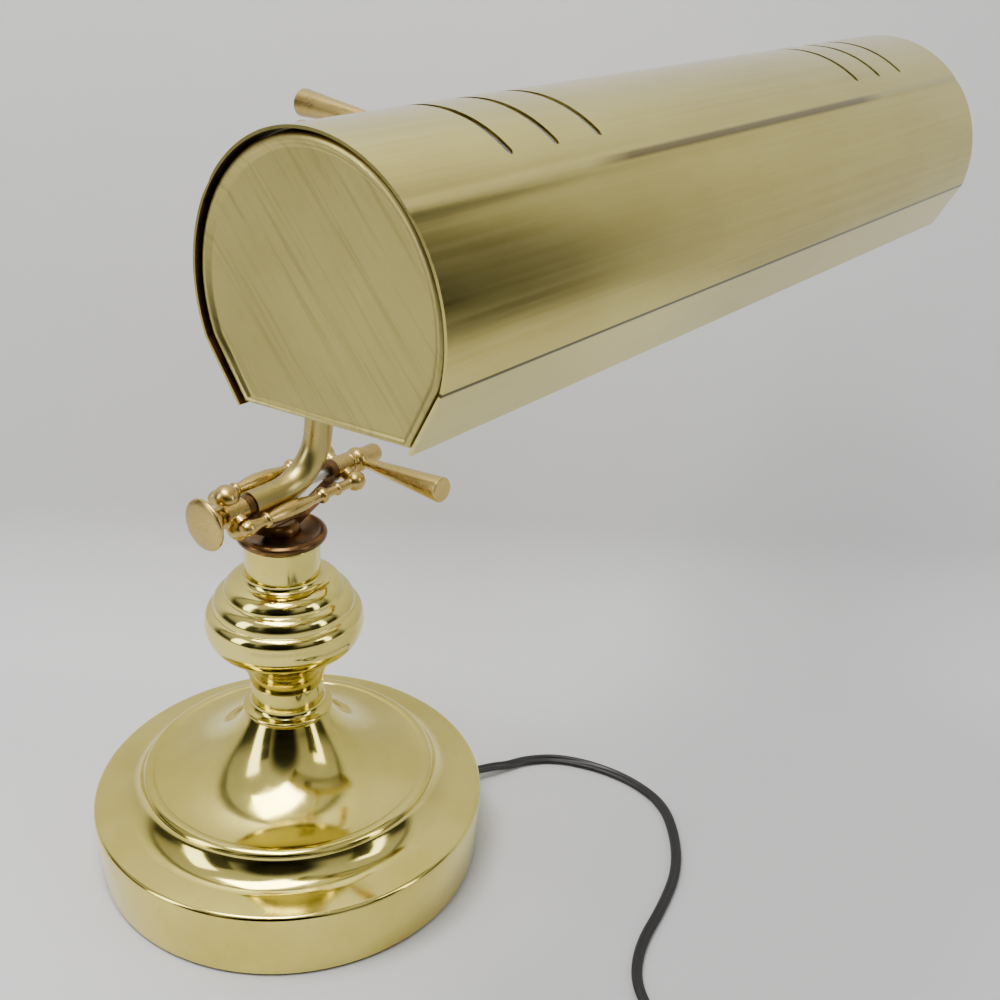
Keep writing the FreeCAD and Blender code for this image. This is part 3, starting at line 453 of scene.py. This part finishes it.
def plain(name, base, rough, metal=0.0, grain=600.0, bump=0.15, depth=0.00005, vary=0.12, coat=0.0, spec=0.5):
    m = Nodes(name)
    n1 = m.noise(m.mapped((1, 1, 1)), 40.0, 5.0, 0.6)
    a = tuple(max(0.0, c * (1 - vary)) for c in base)
    b = tuple(min(1.0, c * (1 + vary)) for c in base)
    col = m.ramp(n1, [(0.3, a), (0.7, b)])
    n2 = m.noise(m.mapped((1, 1, 1)), grain, 3.0, 0.6)
    rr = m.ramp(m.noise(m.mapped((1, 1, 1)), 90.0, 4.0, 0.6), [(0.3, max(0.02, rough - 0.06)), (0.7, min(1.0, rough + 0.06))])
    m.set(Base_Color=col, Metallic=metal, Roughness=rr)
    m.bsdf.inputs["Coat Weight"].default_value = coat
    m.bsdf.inputs["Specular IOR Level"].default_value = spec
    m.link(m.bump(n2, bump, depth), m.bsdf.inputs["Normal"])
    return m.mat


def brushed_shade():
    """Satin brass, brushed along X, with handling marks and a few long scratches, a painted dark reflection line along
    the pressed crease and a painted brighter reflection on the flat lip.
    """
    m = Nodes("shade_brushed_brass")
    big = m.noise(m.mapped((7, 14, 14)), 1.5, 5.0, 0.6)
    streak = m.noise(m.mapped((6, 520, 520)), 1.0, 4.0, 0.62)
    streak2 = m.noise(m.mapped((22, 1900, 1900)), 1.0, 3.0, 0.6)
    col = m.ramp(big, [(0.30, (0.50, 0.42, 0.115)), (0.66, (0.60, 0.52, 0.16))])
    col = m.mix(m.math("MULTIPLY", m.ramp(streak, [(0.42, 0.0), (0.62, 1.0)]), 0.28), col, (0.70, 0.62, 0.25))
    r = m.ramp(streak, [(0.25, 0.10), (0.75, 0.19)])
    smear = m.noise(m.mapped((18, 30, 30)), 1.6, 6.0, 0.7, 1.5)
    r = m.mix(m.math("MULTIPLY", m.ramp(smear, [(0.50, 0.0), (0.70, 1.0)]), 0.5), r, (0.09, 0.09, 0.09))
    # angle round the shade's axis: 0 at the back, 90 on top, 180 at the front
    sep = m.n("ShaderNodeSeparateXYZ")
    m.link(m.co, sep.inputs[0])
    ang = m.math("ARCTAN2", m.math("SUBTRACT", sep.outputs["Z"], SHADE_Z * MM), m.math("SUBTRACT", sep.outputs["Y"], SHADE_Y * MM))
    ang = m.math("MODULO", m.math("ADD", m.math("MULTIPLY", ang, 180.0 / math.pi), 360.0 - SHADE_ROLL), 360.0)
    # painted reflection: a dark line painted along the pressed line above the front, darkest between the slot groups
    off = m.math("ABSOLUTE", m.math("SUBTRACT", ang, 139.6))
    painted_crease_shade_mask = m.ramp(m.math("DIVIDE", off, 3.0), [(0.30, 1.0), (0.75, 0.0)])
    mid = m.math("ABSOLUTE", m.math("SUBTRACT", sep.outputs["X"], SHADE_X * MM))
    painted_crease_middle_mask = m.ramp(m.math("MULTIPLY", mid, 6.0), [(0.48, 1.0), (0.60, 0.25)])
    col = m.mix(m.math("MULTIPLY", m.math("MULTIPLY", painted_crease_shade_mask, painted_crease_middle_mask), 0.85), col, (0.09, 0.065, 0.02))
    # painted reflection: the flat lip is painted brighter, below a thin painted dark line at its fold
    lip = m.math("MULTIPLY", m.math("GREATER_THAN", ang, 198.9), m.math("LESS_THAN", ang, 300.0))
    col = m.mix(m.math("MULTIPLY", lip, 0.6), col, (0.74, 0.66, 0.24))
    edge = m.ramp(m.math("ABSOLUTE", m.math("SUBTRACT", ang, 198.4)), [(0.45, 1.0), (0.95, 0.0)])
    col = m.mix(m.math("MULTIPLY", edge, 0.95), col, (0.05, 0.04, 0.01))
    m.set(Base_Color=col, Metallic=1.0, Roughness=r)
    m.bsdf.inputs["Anisotropic"].default_value = 0.0
    b = m.bump(streak2, 0.16, 0.00006)
    b = m.bump(streak, 0.10, 0.00010, b)
    wob = m.noise(m.mapped((14, 34, 34)), 1.0, 2.0, 0.5)
    b = m.bump(wob, 0.25, 0.0010, b)
    m.link(b, m.bsdf.inputs["Normal"])
    return m.mat


def cap_brass():
    """End cap: satin brass with slanting brush marks."""
    m = Nodes("cap_brushed_brass")
    big = m.noise(m.mapped((20, 20, 20)), 1.2, 4.0, 0.6)
    # slanting marks: stretched noise turned about X
    slant = m.mapped(rot=(math.radians(-47), 0, 0))
    dia_map = m.n("ShaderNodeMapping")
    dia_map.inputs["Scale"].default_value = (1, 40, 1500)
    m.link(slant, dia_map.inputs["Vector"])
    dia = dia_map.outputs[0]
    marks = m.noise(dia, 1.0, 3.0, 0.6)
    deep_map = m.n("ShaderNodeMapping")
    deep_map.inputs["Scale"].default_value = (1, 16, 520)
    deep_map.inputs["Location"].default_value = (0, 3, 1)
    m.link(slant, deep_map.inputs["Vector"])
    dia2 = deep_map.outputs[0]
    deep = m.noise(dia2, 1.0, 3.0, 0.6)
    col = m.ramp(big, [(0.30, (0.46, 0.40, 0.13)), (0.66, (0.54, 0.47, 0.165))])
    col = m.mix(m.math("MULTIPLY", m.ramp(deep, [(0.52, 0.0), (0.66, 1.0)]), 0.38), col, (0.28, 0.24, 0.07))
    r = m.ramp(marks, [(0.3, 0.30), (0.7, 0.42)])
    m.set(Base_Color=col, Metallic=1.0, Roughness=r)
    b = m.bump(marks, 0.22, 0.00006)
    b = m.bump(deep, 0.20, 0.00012, b)
    m.link(b, m.bsdf.inputs["Normal"])
    return m.mat


BRASS = polished_brass("column_polished_brass", (0.80, 0.69, 0.20), (0.66, 0.55, 0.12))
WARM = polished_brass("clamp_warm_brass", (0.60, 0.44, 0.15), (0.44, 0.31, 0.09), rough=(0.22, 0.34), scratch=0.25, wear=0.35)
TUBEM = polished_brass("arm_satin_brass", (0.48, 0.39, 0.14), (0.38, 0.30, 0.09), rough=(0.24, 0.36), scratch=0.25, wear=0.3)
DARK_BRONZE_AND_PAINTED_SHADE = polished_brass("dark_bronze_and_painted_shade", (0.22, 0.12, 0.045), (0.09, 0.05, 0.022), rough=(0.22, 0.42), scratch=0.3, cloud=40.0, wear=0.5)
SHADEM = brushed_shade()
CAPM = cap_brass()
ENAMEL = plain("shade_white_enamel", (0.80, 0.79, 0.75), 0.32, grain=300.0, bump=0.12, vary=0.04, coat=0.3)
STEEL = plain("zinc_plated_steel", (0.58, 0.58, 0.56), 0.34, metal=1.0, grain=900.0, bump=0.3)
IRON = plain("cast_iron", (0.09, 0.09, 0.09), 0.72, metal=0.4, grain=500.0, bump=0.8, depth=0.0003)
FELT = plain("felt", (0.03, 0.035, 0.03), 0.95, grain=2600.0, bump=1.0, depth=0.0003, vary=0.35)
CORDM = plain("cord_pvc", (0.010, 0.009, 0.008), 0.40, grain=700.0, bump=0.15, vary=0.3)
PLASTIC = plain("black_moulded_plastic", (0.02, 0.02, 0.02), 0.42, grain=1200.0, bump=0.25)
NYLON = plain("nylon", (0.75, 0.73, 0.66), 0.4, vary=0.05)
SOCKETM = plain("phenolic", (0.045, 0.025, 0.018), 0.35, grain=500.0, bump=0.15, coat=0.2)
LEADM = plain("lead_pvc", (0.55, 0.42, 0.18), 0.42)
CAPMETAL = plain("bulb_cap_metal", (0.75, 0.75, 0.73), 0.28, metal=1.0)
GLASSM = plain("frosted_bulb_glass", (0.86, 0.85, 0.82), 0.38, grain=1500.0, bump=0.1, vary=0.03, coat=0.25)
mains.data.materials.append(CORDM)

by_slot = {"polished_brass": BRASS, "brushed_brass": SHADEM, "warm_brass": WARM, "dark_bronze": DARK_BRONZE_AND_PAINTED_SHADE, "zinc_steel": STEEL,
           "cast_weight": IRON, "felt": FELT, "cord_pvc": CORDM, "black_plastic": PLASTIC, "nylon": NYLON,
           "socket_shell": SOCKETM, "bulb_glass": GLASSM, "bulb_cap_metal": CAPMETAL, "lead_pvc": LEADM}
for entry in frame["record"]["subparts"]:
    o = NODES.get(entry["node"])
    if o is not None:
        o.data.materials.clear()
        o.data.materials.append(by_slot[entry["material_slot"]])

# ---------------------------------------------------------------------------- base and column
turned("base_shell_spun", [
    (101.6, 1.5), (103.0, 35.6), ((103.0, 36.0), (102.35, 37.75)), (100.7, 38.55),
    ((91.2, 40.3), (81.9, 43.6)), (76.3, 51.2), ((76.3, 52.2), (74.0, 54.0)),
    ((70.4, 53.5), (41.0, 64.6)), (21.6, 88.0), (5.5, 88.0), (5.5, 86.4),
    ((20.6, 86.4), (39.7, 63.4)), (70.0, 51.9), (74.8, 51.4), ((74.8, 50.6), (80.8, 42.5)),
    (90.8, 38.8), (100.2, 37.0), (101.4, 35.4), (100.1, 1.5)], seg=256, ease=0.8, body=BASE, node="base_shell", slot="polished_brass", mat=BRASS)
turned("column_foot_turned", [
    (5.5, 88.2), (21.2, 88.2), ((22.4, 89.0), (23.2, 90.3)), (22.2, 91.6), ((20.4, 92.3), (19.2, 93.6)),
    (18.8, 95.6), (18.8, 106.2), (5.5, 106.2), (5.5, 104.6), (17.2, 104.6), (17.2, 89.8), (5.5, 89.8)],
    seg=160, body=BASE, node="column_foot", slot="polished_brass", mat=BRASS)
turned("column_vase_turned", [
    (5.5, 106.4), ((19.0, 106.4), (20.2, 111.8)), ((22.6, 117.0), (28.2, 124.6)), (34.6, 130.2),
    ((36.0, 131.2), (39.5, 137.8)), ((39.4, 145.2), (38.6, 148.4)), (36.4, 150.6), (35.6, 150.9),
    ((35.6, 152.0), (34.6, 155.4)), (31.0, 158.6), (29.9, 159.2), ((29.9, 160.2), (28.2, 163.4)),
    (24.2, 166.0), ((22.6, 166.6), (20.3, 167.5)), (19.4, 169.8), (5.5, 169.8), (5.5, 168.2),
    (17.6, 168.2), (22.0, 164.6), (28.0, 158.6), (34.0, 150.8), (37.4, 144.8), (37.4, 137.8), (34.2, 132.4),
    (26.8, 125.6), (21.0, 117.4), (18.0, 108.0), (5.5, 108.0)], seg=200, ease=0.5, body=BASE, node="column_vase", slot="polished_brass", mat=BRASS)
turned("column_neck_turned", [
    (5.5, 170.0), (18.8, 170.0), (18.8, 185.6), ((18.8, 185.9), (18.5, 187.0)), (17.4, 187.3),
    (17.0, 187.3), (17.0, 171.6), (5.5, 171.6)], seg=160, body=BASE, node="column_neck", slot="polished_brass", mat=BRASS)

# ---------------------------------------------------------------------------- head
turned("swivel_collar_turned", [
    (6.85, 187.7), (19.6, 187.7), ((21.4, 188.3), (22.4, 190.0)), (21.9, 191.7), ((20.9, 192.5), (19.6, 192.75)),
    (18.6, 192.2), ((18.0, 191.9), (14.0, 191.1)), (9.6, 191.4), (6.85, 191.4)], seg=128, body="head", node="swivel_collar", slot="dark_bronze", mat=DARK_BRONZE_AND_PAINTED_SHADE)

# ---------------------------------------------------------------------------- arm


def tube_line(points, radii, step=3.0):
    pts = [Vector(p) for p in points]
    out = [pts[0]]
    for i in range(1, len(pts) - 1):
        a, b, c = pts[i - 1], pts[i], pts[i + 1]
        d1, d2 = (b - a).normalized(), (c - b).normalized()
        turn = d1.angle(d2)
        r = radii[i - 1]
        t = r * math.tan(turn / 2)
        centre = b + (d2 - d1).normalized() * (r / math.cos(turn / 2))
        n = max(6, int(math.degrees(turn) / step))
        start = b - d1 * t - centre
        axis = d1.cross(d2).normalized()
        for k in range(n + 1):
            out.append(centre + Matrix.Rotation(turn * k / n, 3, axis) @ start)
    out.append(pts[-1])
    return out


def hollow_tube(name, line, outer, inner, seg=64, matrix=None, **kw):
    """A tube with a bore and open ends along a line in millimetres."""
    verts, faces = [], []
    frames = []
    ref_v = Vector((0, 1, 0))
    for i, p in enumerate(line):
        t = (line[min(i + 1, len(line) - 1)] - line[max(i - 1, 0)]).normalized()
        u = ref_v - t * ref_v.dot(t)
        if u.length < 0.1:
            u = Vector((1, 0, 0)) - t * t.x
        u.normalize()
        frames.append((p, u, t.cross(u)))
    n = len(line)
    for rad in (outer, inner):
        for p, u, v in frames:
            for k in range(seg):
                a = 2 * math.pi * k / seg
                verts.append((p + u * (rad * math.cos(a)) + v * (rad * math.sin(a))) * MM)
    off = n * seg
    for i in range(n - 1):
        for k in range(seg):
            a, b = i * seg + k, i * seg + (k + 1) % seg
            faces.append((a, b, b + seg, a + seg))
            faces.append((off + a, off + a + seg, off + b + seg, off + b))
    for k in range(seg):
        k2 = (k + 1) % seg
        faces.append((k2, k, off + k, off + k2))
        a, b = (n - 1) * seg + k, (n - 1) * seg + k2
        faces.append((a, b, off + b, off + a))
    if matrix is not None:
        verts = [matrix @ v for v in verts]
    o = new_object(name, verts, faces, 50.0)
    finish_piece(o, **kw)
    return o


arm_line = tube_line([(-19.4, 0, 0), (RISER_X, 0, 0), (RISER_X, 0, ARM_LEN - 10.8)], [25.0])
hollow_tube("arm_tube_bent", arm_line, 7.0, 6.0, matrix=ARM, body="arm", node="arm_tube", slot="polished_brass", mat=TUBEM)

sa = math.radians(12.6)
spindle = [
    (-33.4, 0), ((-33.2, 2.4), (-31.4, 3.5)), (-28.8, 3.9), (-24.4, 3.1), (-22.6, 2.7), (-20.2, 2.7), ((-19.8, 3.2), (-18.6, 3.9)),
    (-17.4, 3.2), ((-17.0, 2.6), (-4.0, 4.1)), (9.4, 2.6), (10.6, 2.4), (14.4, 2.4), ((15.4, 3.0), (17.6, 4.1)),
    (19.8, 3.0), (20.6, 2.4), (26.0, 2.4), ((26.4, 2.9), (27.6, 3.4)), (28.8, 2.9), (29.2, 2.5), (35.6, 2.5),
    ((36.2, 2.9), (40.5, 5.2)), (45.7, 1.2), (45.7, 0)]
for label, sg in (("rear_spindle", 1.0), ("front_spindle", -1.0)):
    at = ARM @ Matrix.Translation((0, sg * 11.6 * MM * math.cos(sa), sg * 11.6 * MM * math.sin(sa)))
    turned(label + "_turned", spindle, at, "X", seg=56, ease=0.3, body="arm", node=label, slot="warm_brass", mat=WARM)

lever = [(0, 4.2), (2.25, 4.2), (2.25, 7.4), (2.8, 7.9), (6.45, 56.6), (6.4, 57.3), (6.0, 57.8), (0, 57.8)]
nut = [(46.2, 2.55), (46.2, 5.0), ((46.6, 5.4), (47.2, 5.6)), (47.8, 5.4), (48.2, 5.0), ((49.8, 5.2), (53.0, 6.6)),
       (56.2, 5.2), (57.6, 5.0), (65.4, 5.0), (67.0, 4.4), (67.9, 2.55)]


def disc(x0, rad):
    k = rad / 13.3
    return [(x0 - 12.2, 0), ((x0 - 12.2, 4.0 * k), (x0 - 12.0, 8.5 * k)), (x0 - 11.5, 12.2 * k),
            ((x0 - 11.0, 13.0 * k), (x0 - 10.2, 13.3 * k)), (x0 - 9.4, 12.9 * k), (x0 - 8.8, 11.8 * k), (x0 - 8.2, 5.4),
            ((x0 - 7.6, 4.5), (x0 - 5.4, 5.2)),
            (x0 - 2.6, 4.4), (x0 - 1.8, 3.8), (x0 - 0.3, 3.8), (x0 - 0.3, 2.55), (x0 - 4.1, 2.55), (x0 - 4.1, 0)]


for pre, hinge, x0, rad, ang in (("lower", HINGE, -36.0, 12.8, 88.3), ("upper", UPPER, 9.0, 8.8, -87.0)):
    turned(pre + "_disc_knob_turned", disc(x0, rad), hinge, "X", seg=96, ease=0.4, body=pre + "_bolt_and_knob", node=pre + "_disc_knob", slot="warm_brass", mat=WARM)
    turn_x = Matrix.Rotation(math.radians(ang), 4, "X")
    turned(pre + "_sleeve_nut_turned", nut, hinge @ turn_x, "X", seg=64, ease=0.25, body=pre + "_nut_and_lever", node=pre + "_sleeve_nut", slot="warm_brass", mat=WARM)
    at = hinge @ Matrix.Translation((53.0 * MM, 0, 0)) @ turn_x
    turned(pre + "_lever_turned", lever, at, "Z", seg=64, ease=0.3, body=pre + "_nut_and_lever", node=pre + "_lever", slot="warm_brass", mat=WARM)


# ---------------------------------------------------------------------------- shade
def shade_shell():
    """Rolled sheet with three slots near each end, built as a solid and cut, with exact normals."""
    R0, R1 = SHADE_RAD, SHADE_RAD - SHADE_WALL
    A_FLAT, A_EDGE = 18.3, 45.0
    n_arc = 180

    def pol(rad, deg):
        return (rad * math.cos(math.radians(deg)), rad * math.sin(math.radians(deg)))

    def crease(deg):
        """How far the sheet dips at the pressed line on each side, 0..1, and the tilt it gives."""
        x = (min(deg, 180.0 - deg) - 39.0) / 2.6
        side = 1.0 if deg < 90.0 else -1.0
        return math.exp(-x * x), side * 34.0 * x * math.exp(-x * x)

    outer = [pol(R0 - 0.25 * crease(a)[0], a) for a in (-A_FLAT + (180 + 2 * A_FLAT) * k / n_arc for k in range(n_arc + 1))]
    outer = [pol(R0, -A_EDGE)] + outer + [pol(R0, 180 + A_EDGE)]
    inner = [pol(R1, -A_FLAT + (180 + 2 * A_FLAT) * k / n_arc) for k in range(n_arc + 1)]
    inner = [pol(R1, -A_EDGE - 0.35)] + inner + [pol(R1, 180 + A_EDGE + 0.35)]
    ring = outer + inner[::-1]
    n = len(ring)
    xs = [-SHADE_LEN / 2, -SHADE_LEN / 2 + 12.0, SHADE_LEN / 2 - 12.0, SHADE_LEN / 2]
    bm = bmesh.new()
    rows = [[bm.verts.new((x * MM, y * MM, z * MM)) for y, z in ring] for x in xs]
    for i in range(len(xs) - 1):
        for k in range(n):
            k2 = (k + 1) % n
            bm.faces.new((rows[i][k], rows[i + 1][k], rows[i + 1][k2], rows[i][k2]))
    m = len(outer)
    for row, flip in ((rows[0], False), (rows[-1], True)):
        for k in range(m - 1):
            a, b, c, d = row[k], row[k + 1], row[n - 2 - k], row[n - 1 - k]
            bm.faces.new((d, c, b, a) if flip else (a, b, c, d))
    bmesh.ops.recalc_face_normals(bm, faces=bm.faces)
    me = D.meshes.new("shade_shell_rolled")
    bm.to_mesh(me)
    bm.free()
    o = D.objects.new("shade_shell_rolled", me)
    COL.objects.link(o)
    # cutter: slots with rounded ends
    w, half = 1.3, SHADE_RAD * math.sin(math.radians(39.5)) - 1.3
    bc = bmesh.new()
    for d in (47.9, 68.4, 89.0):
        for x in (-SHADE_LEN / 2 + d, SHADE_LEN / 2 - d):
            loop = []
            for k in range(13):
                a = math.pi * k / 12
                loop.append((x + w * math.cos(a), half + w * math.sin(a)))
            for k in range(13):
                a = math.pi + math.pi * k / 12
                loop.append((x + w * math.cos(a), -half + w * math.sin(a)))
            lo = [bc.verts.new((p[0] * MM, p[1] * MM, 10 * MM)) for p in loop]
            hi = [bc.verts.new((p[0] * MM, p[1] * MM, 60 * MM)) for p in loop]
            bc.faces.new(lo[::-1])
            bc.faces.new(hi)
            for k in range(len(loop)):
                k2 = (k + 1) % len(loop)
                bc.faces.new((lo[k], lo[k2], hi[k2], hi[k]))
    bmesh.ops.recalc_face_normals(bc, faces=bc.faces)
    mc = D.meshes.new("slot_cutter")
    bc.to_mesh(mc)
    bc.free()
    c = D.objects.new("slot_cutter", mc)
    COL.objects.link(c)
    mod = o.modifiers.new("slots", "BOOLEAN")
    mod.operation = "DIFFERENCE"
    mod.solver = "EXACT"
    mod.object = c
    dg = bpy.context.evaluated_depsgraph_get()
    done = D.meshes.new_from_object(o.evaluated_get(dg))
    o.modifiers.clear()
    D.objects.remove(c)
    o.data = done
    # exact normals: radial on the rolled part, constant on the flat lips
    me = o.data
    normals = [None] * len(me.loops)
    for p in me.polygons:
        p.use_smooth = True
        c = p.center / MM
        fn = p.normal
        rad = math.hypot(c.y, c.z)
        ang = math.degrees(math.atan2(c.z, c.y))
        for li in p.loop_indices:
            v = me.vertices[me.loops[li].vertex_index].co / MM
            nrm = Vector(fn)
            radial = Vector((0, c.y, c.z)).normalized()
            rolled = (ang >= -A_FLAT) if ang > -90 else (ang < -180 + A_FLAT)
            if rolled and abs(fn.x) < 0.2 and abs(fn.dot(radial)) > 0.96:
                va = math.degrees(math.atan2(v.z, v.y))
                if fn.dot(radial) > 0:
                    tilt = crease(va)[1] if va > 0 else 0.0
                    va = math.radians(va + tilt)
                    nrm = Vector((0, math.cos(va), math.sin(va)))
                else:
                    nrm = -Vector((0, v.y, v.z)).normalized()
            normals[li] = nrm
    me.normals_split_custom_set(normals)
    me.transform(SHADE)
    me.materials.clear()
    me.materials.append(SHADEM)
    me.materials.append(ENAMEL)
    me.materials.append(DARK_BRONZE_AND_PAINTED_SHADE)
    inv = SHADE.inverted()
    # painted shade: inside faces take the white enamel, but within 12 mm of each end they take the dark bronze, so the
    # gap between end cap and shell reads dark
    for p in me.polygons:
        c = inv @ p.center / MM
        rad = Vector((0, c.y, c.z)).normalized()
        n_local = inv.to_3x3() @ p.normal
        if abs(n_local.x) < 0.3 and n_local.dot(rad) < -0.5:
            p.material_index = 2 if abs(c.x) > SHADE_LEN / 2 - 12.0 else 1
    finish_piece(o, "shade", "shade_shell", "brushed_brass", None)
    return o


shade = shade_shell()


def end_cap(name, node, sign):
    """Dished cap with a rolled bead along its round edge, standing just inside the shade's lip."""
    rr = SHADE_RAD - SHADE_WALL - 0.35
    A_FLAT, A_EDGE = 18.3, 45.0
    h = rr * math.sin(math.radians(A_EDGE))

    def section(rad, chord):
        pts = []
        n = 96
        for k in range(n + 1):
            a = math.radians(-A_FLAT + (180 + 2 * A_FLAT) * k / n)
            pts.append((rad * math.cos(a), rad * math.sin(a)))
        e = rad * math.cos(math.radians(A_EDGE))
        pts.append((-e, -chord))
        pts.append((e, -chord))
        return pts

    # (inset of the outline, depth from the front plane, inwards)
    steps = [(0.05, 7.0), (0.0, 6.6), (0.1, 4.5), (0.55, 3.0), (0.55, 1.9), (0.7, 1.1), (1.1, 0.5), (1.6, 0.14), (2.2, 0.02), (2.8, 0.14),
             (3.3, 0.45), (3.7, 0.9), (4.1, 1.15), (4.8, 1.22)]
    rings = []
    verts, faces = [], []
    for inset, depth in steps:
        s = section(rr - inset, h - inset * 0.55)
        rings.append(list(range(len(verts), len(verts) + len(s))))
        for y, z in s:
            x = -SHADE_LEN / 2 + 0.9 + depth
            verts.append(Vector((x * MM, y * MM, z * MM)))
    # inner side of the same sheet
    inner_steps = [(4.9, 2.0), (1.9, 2.0), (1.5, 4.5), (0.95, 6.6), (0.95, 7.0)]
    for inset, depth in inner_steps:
        s = section(rr - inset, h - inset * 0.55)
        rings.append(list(range(len(verts), len(verts) + len(s))))
        for y, z in s:
            verts.append(Vector(((-SHADE_LEN / 2 + 0.9 + depth) * MM, y * MM, z * MM)))
    n = len(rings[0])

    def bridge(a, b):
        for k in range(n):
            k2 = (k + 1) % n
            faces.append((rings[a][k], rings[a][k2], rings[b][k2], rings[b][k]))

    for i in range(len(steps) - 1):
        bridge(i, i + 1)
    for i in range(len(steps), len(rings) - 1):
        bridge(i, i + 1)
    bridge(len(rings) - 1, 0)
    faces.append(tuple(rings[len(steps) - 1]))
    faces.append(tuple(reversed(rings[len(steps)])))
    m = SHADE if sign < 0 else SHADE @ Matrix.Rotation(math.pi, 4, "Z")
    o = new_object(name, [m @ v for v in verts], faces, None)
    bm = bmesh.new()
    bm.from_mesh(o.data)
    bmesh.ops.recalc_face_normals(bm, faces=bm.faces)
    bm.to_mesh(o.data)
    bm.free()
    for p in o.data.polygons:
        p.use_smooth = True
    o.data.set_sharp_from_angle(angle=math.radians(30))
    finish_piece(o, "shade", node, "brushed_brass", CAPM)
    return o


end_cap("near_end_cap_dished", "near_end_cap", -1)
end_cap("far_end_cap_dished", "far_end_cap", 1)

# ---------------------------------------------------------------------------- stage
def cyclorama():
    """Floor that curves up into a wall behind the lamp."""
    head = Vector((0.797, 0.605, 0)).normalized()
    side = Vector((head.y, -head.x, 0))
    prof = [(-2.2, 0.0), (-0.6, 0.0), (0.0, 0.0), (0.08, 0.0), (0.13, 0.0)]
    r = 0.09
    x0 = 0.13
    for k in range(1, 13):
        a = math.radians(90 * k / 12)
        prof.append((x0 + r * math.sin(a), r - r * math.cos(a)))
    prof.append((x0 + r, 2.4))
    verts, faces = [], []
    for s in (-2.6, 2.6):
        for d, z in prof:
            p = head * d + side * s
            verts.append((p.x, p.y, z))
    n = len(prof)
    for i in range(n - 1):
        faces.append((i, i + 1, n + i + 1, n + i))
    o = new_object("backdrop", verts, faces, None)
    m = Nodes("backdrop_paper")
    grain = m.noise(m.mapped((1, 1, 1)), 300.0, 3.0, 0.6)
    col = m.ramp(m.noise(m.mapped((1, 1, 1)), 3.0, 3.0, 0.5), [(0.3, (0.60, 0.60, 0.605)), (0.7, (0.64, 0.64, 0.65))])
    m.set(Base_Color=col, Roughness=0.75)
    m.link(m.bump(grain, 0.05, 0.0002), m.bsdf.inputs["Normal"])
    o.data.materials.append(m.mat)
    return o


cyclorama()


def area(name, loc, target, size, power, color=(1, 1, 1)):
    l = D.lights.new(name, "AREA")
    l.shape = "RECTANGLE"
    l.size, l.size_y = size
    l.energy = power
    l.color = color
    o = D.objects.new(name, l)
    COL.objects.link(o)
    o.location = loc
    d = Vector(target) - Vector(loc)
    o.rotation_euler = d.to_track_quat("-Z", "Y").to_euler()
    return o


area("key_top", (-0.30, -0.05, 1.30), (0.05, -0.05, 0.1), (0.7, 0.45), 19.0, (1.0, 0.99, 0.97))
area("strip_left", (-1.15, 0.45, 0.70), (0, -0.05, 0.25), (0.35, 1.0), 6.0, (0.98, 0.99, 1.0))
area("strip_right", (0.35, -1.35, 0.70), (0, -0.1, 0.25), (0.40, 1.0), 7.0, (1.0, 0.99, 0.97))

def screen(name, loc, target, size, shade_value):
    """A dark studio screen out of the picture, seen only in reflections."""
    w, h = size[0] / 2, size[1] / 2
    o = new_object(name, [(-w, -h, 0), (w, -h, 0), (w, h, 0), (-w, h, 0)], [(0, 1, 2, 3)], None)
    o.location = loc
    d = Vector(target) - Vector(loc)
    o.rotation_euler = d.to_track_quat("-Z", "Y").to_euler()
    m = Nodes(name + "_cloth")
    m.set(Base_Color=(shade_value, shade_value, shade_value), Roughness=0.9)
    o.data.materials.append(m.mat)
    return o


screen("screen_front", (0.10, -1.05, 0.42), (0, 0, 0.25), (0.30, 0.70), 0.01)
screen("screen_left", (-0.95, 0.05, 0.40), (0, 0, 0.25), (0.26, 0.70), 0.01)

# room: light ceiling, dim surroundings at eye level and a dark patch where the viewer stands
world = D.worlds.new("studio")
bpy.context.scene.world = world
world.use_nodes = True
wt = world.node_tree
wt.nodes.clear()


def wnode(kind, **props):
    x = wt.nodes.new(kind)
    for k, v in props.items():
        setattr(x, k, v)
    return x


wout = wnode("ShaderNodeOutputWorld")
bg = wnode("ShaderNodeBackground")
wt.links.new(bg.outputs[0], wout.inputs[0])
tc = wnode("ShaderNodeTexCoord")
sep = wnode("ShaderNodeSeparateXYZ")
wt.links.new(tc.outputs["Generated"], sep.inputs[0])
wr = wnode("ShaderNodeValToRGB")
up01 = wnode("ShaderNodeMath", operation="MULTIPLY_ADD")
wt.links.new(sep.outputs["Z"], up01.inputs[0])
up01.inputs[1].default_value = 0.5
up01.inputs[2].default_value = 0.5
wt.links.new(up01.outputs[0], wr.inputs["Fac"])
el = wr.color_ramp.elements
el[0].position, el[0].color = 0.0, (0.45, 0.45, 0.45, 1)
el[1].position, el[1].color = 1.0, (1.0, 1.0, 1.0, 1)
for pos, val in ((0.46, 0.40), (0.51, 0.05), (0.62, 0.07), (0.72, 0.60)):
    e = el.new(pos)
    e.color = (val, val, val * 1.01, 1)
dot = wnode("ShaderNodeVectorMath", operation="DOT_PRODUCT")
wt.links.new(tc.outputs["Generated"], dot.inputs[0])
dot.inputs[1].default_value = (-0.70, -0.53, 0.47)
patch = wnode("ShaderNodeMapRange", interpolation_type="SMOOTHSTEP")
wt.links.new(dot.outputs["Value"], patch.inputs["Value"])
patch.inputs["From Min"].default_value = 0.84
patch.inputs["From Max"].default_value = 0.95
patch.inputs["To Min"].default_value = 1.0
patch.inputs["To Max"].default_value = 0.03
shade_mix = wnode("ShaderNodeMix", data_type="RGBA", blend_type="MULTIPLY")
shade_mix.inputs[0].default_value = 1.0
wt.links.new(wr.outputs["Color"], shade_mix.inputs[6])
wt.links.new(patch.outputs["Result"], shade_mix.inputs[7])
wt.links.new(shade_mix.outputs[2], bg.inputs["Color"])
bg.inputs["Strength"].default_value = 0.75
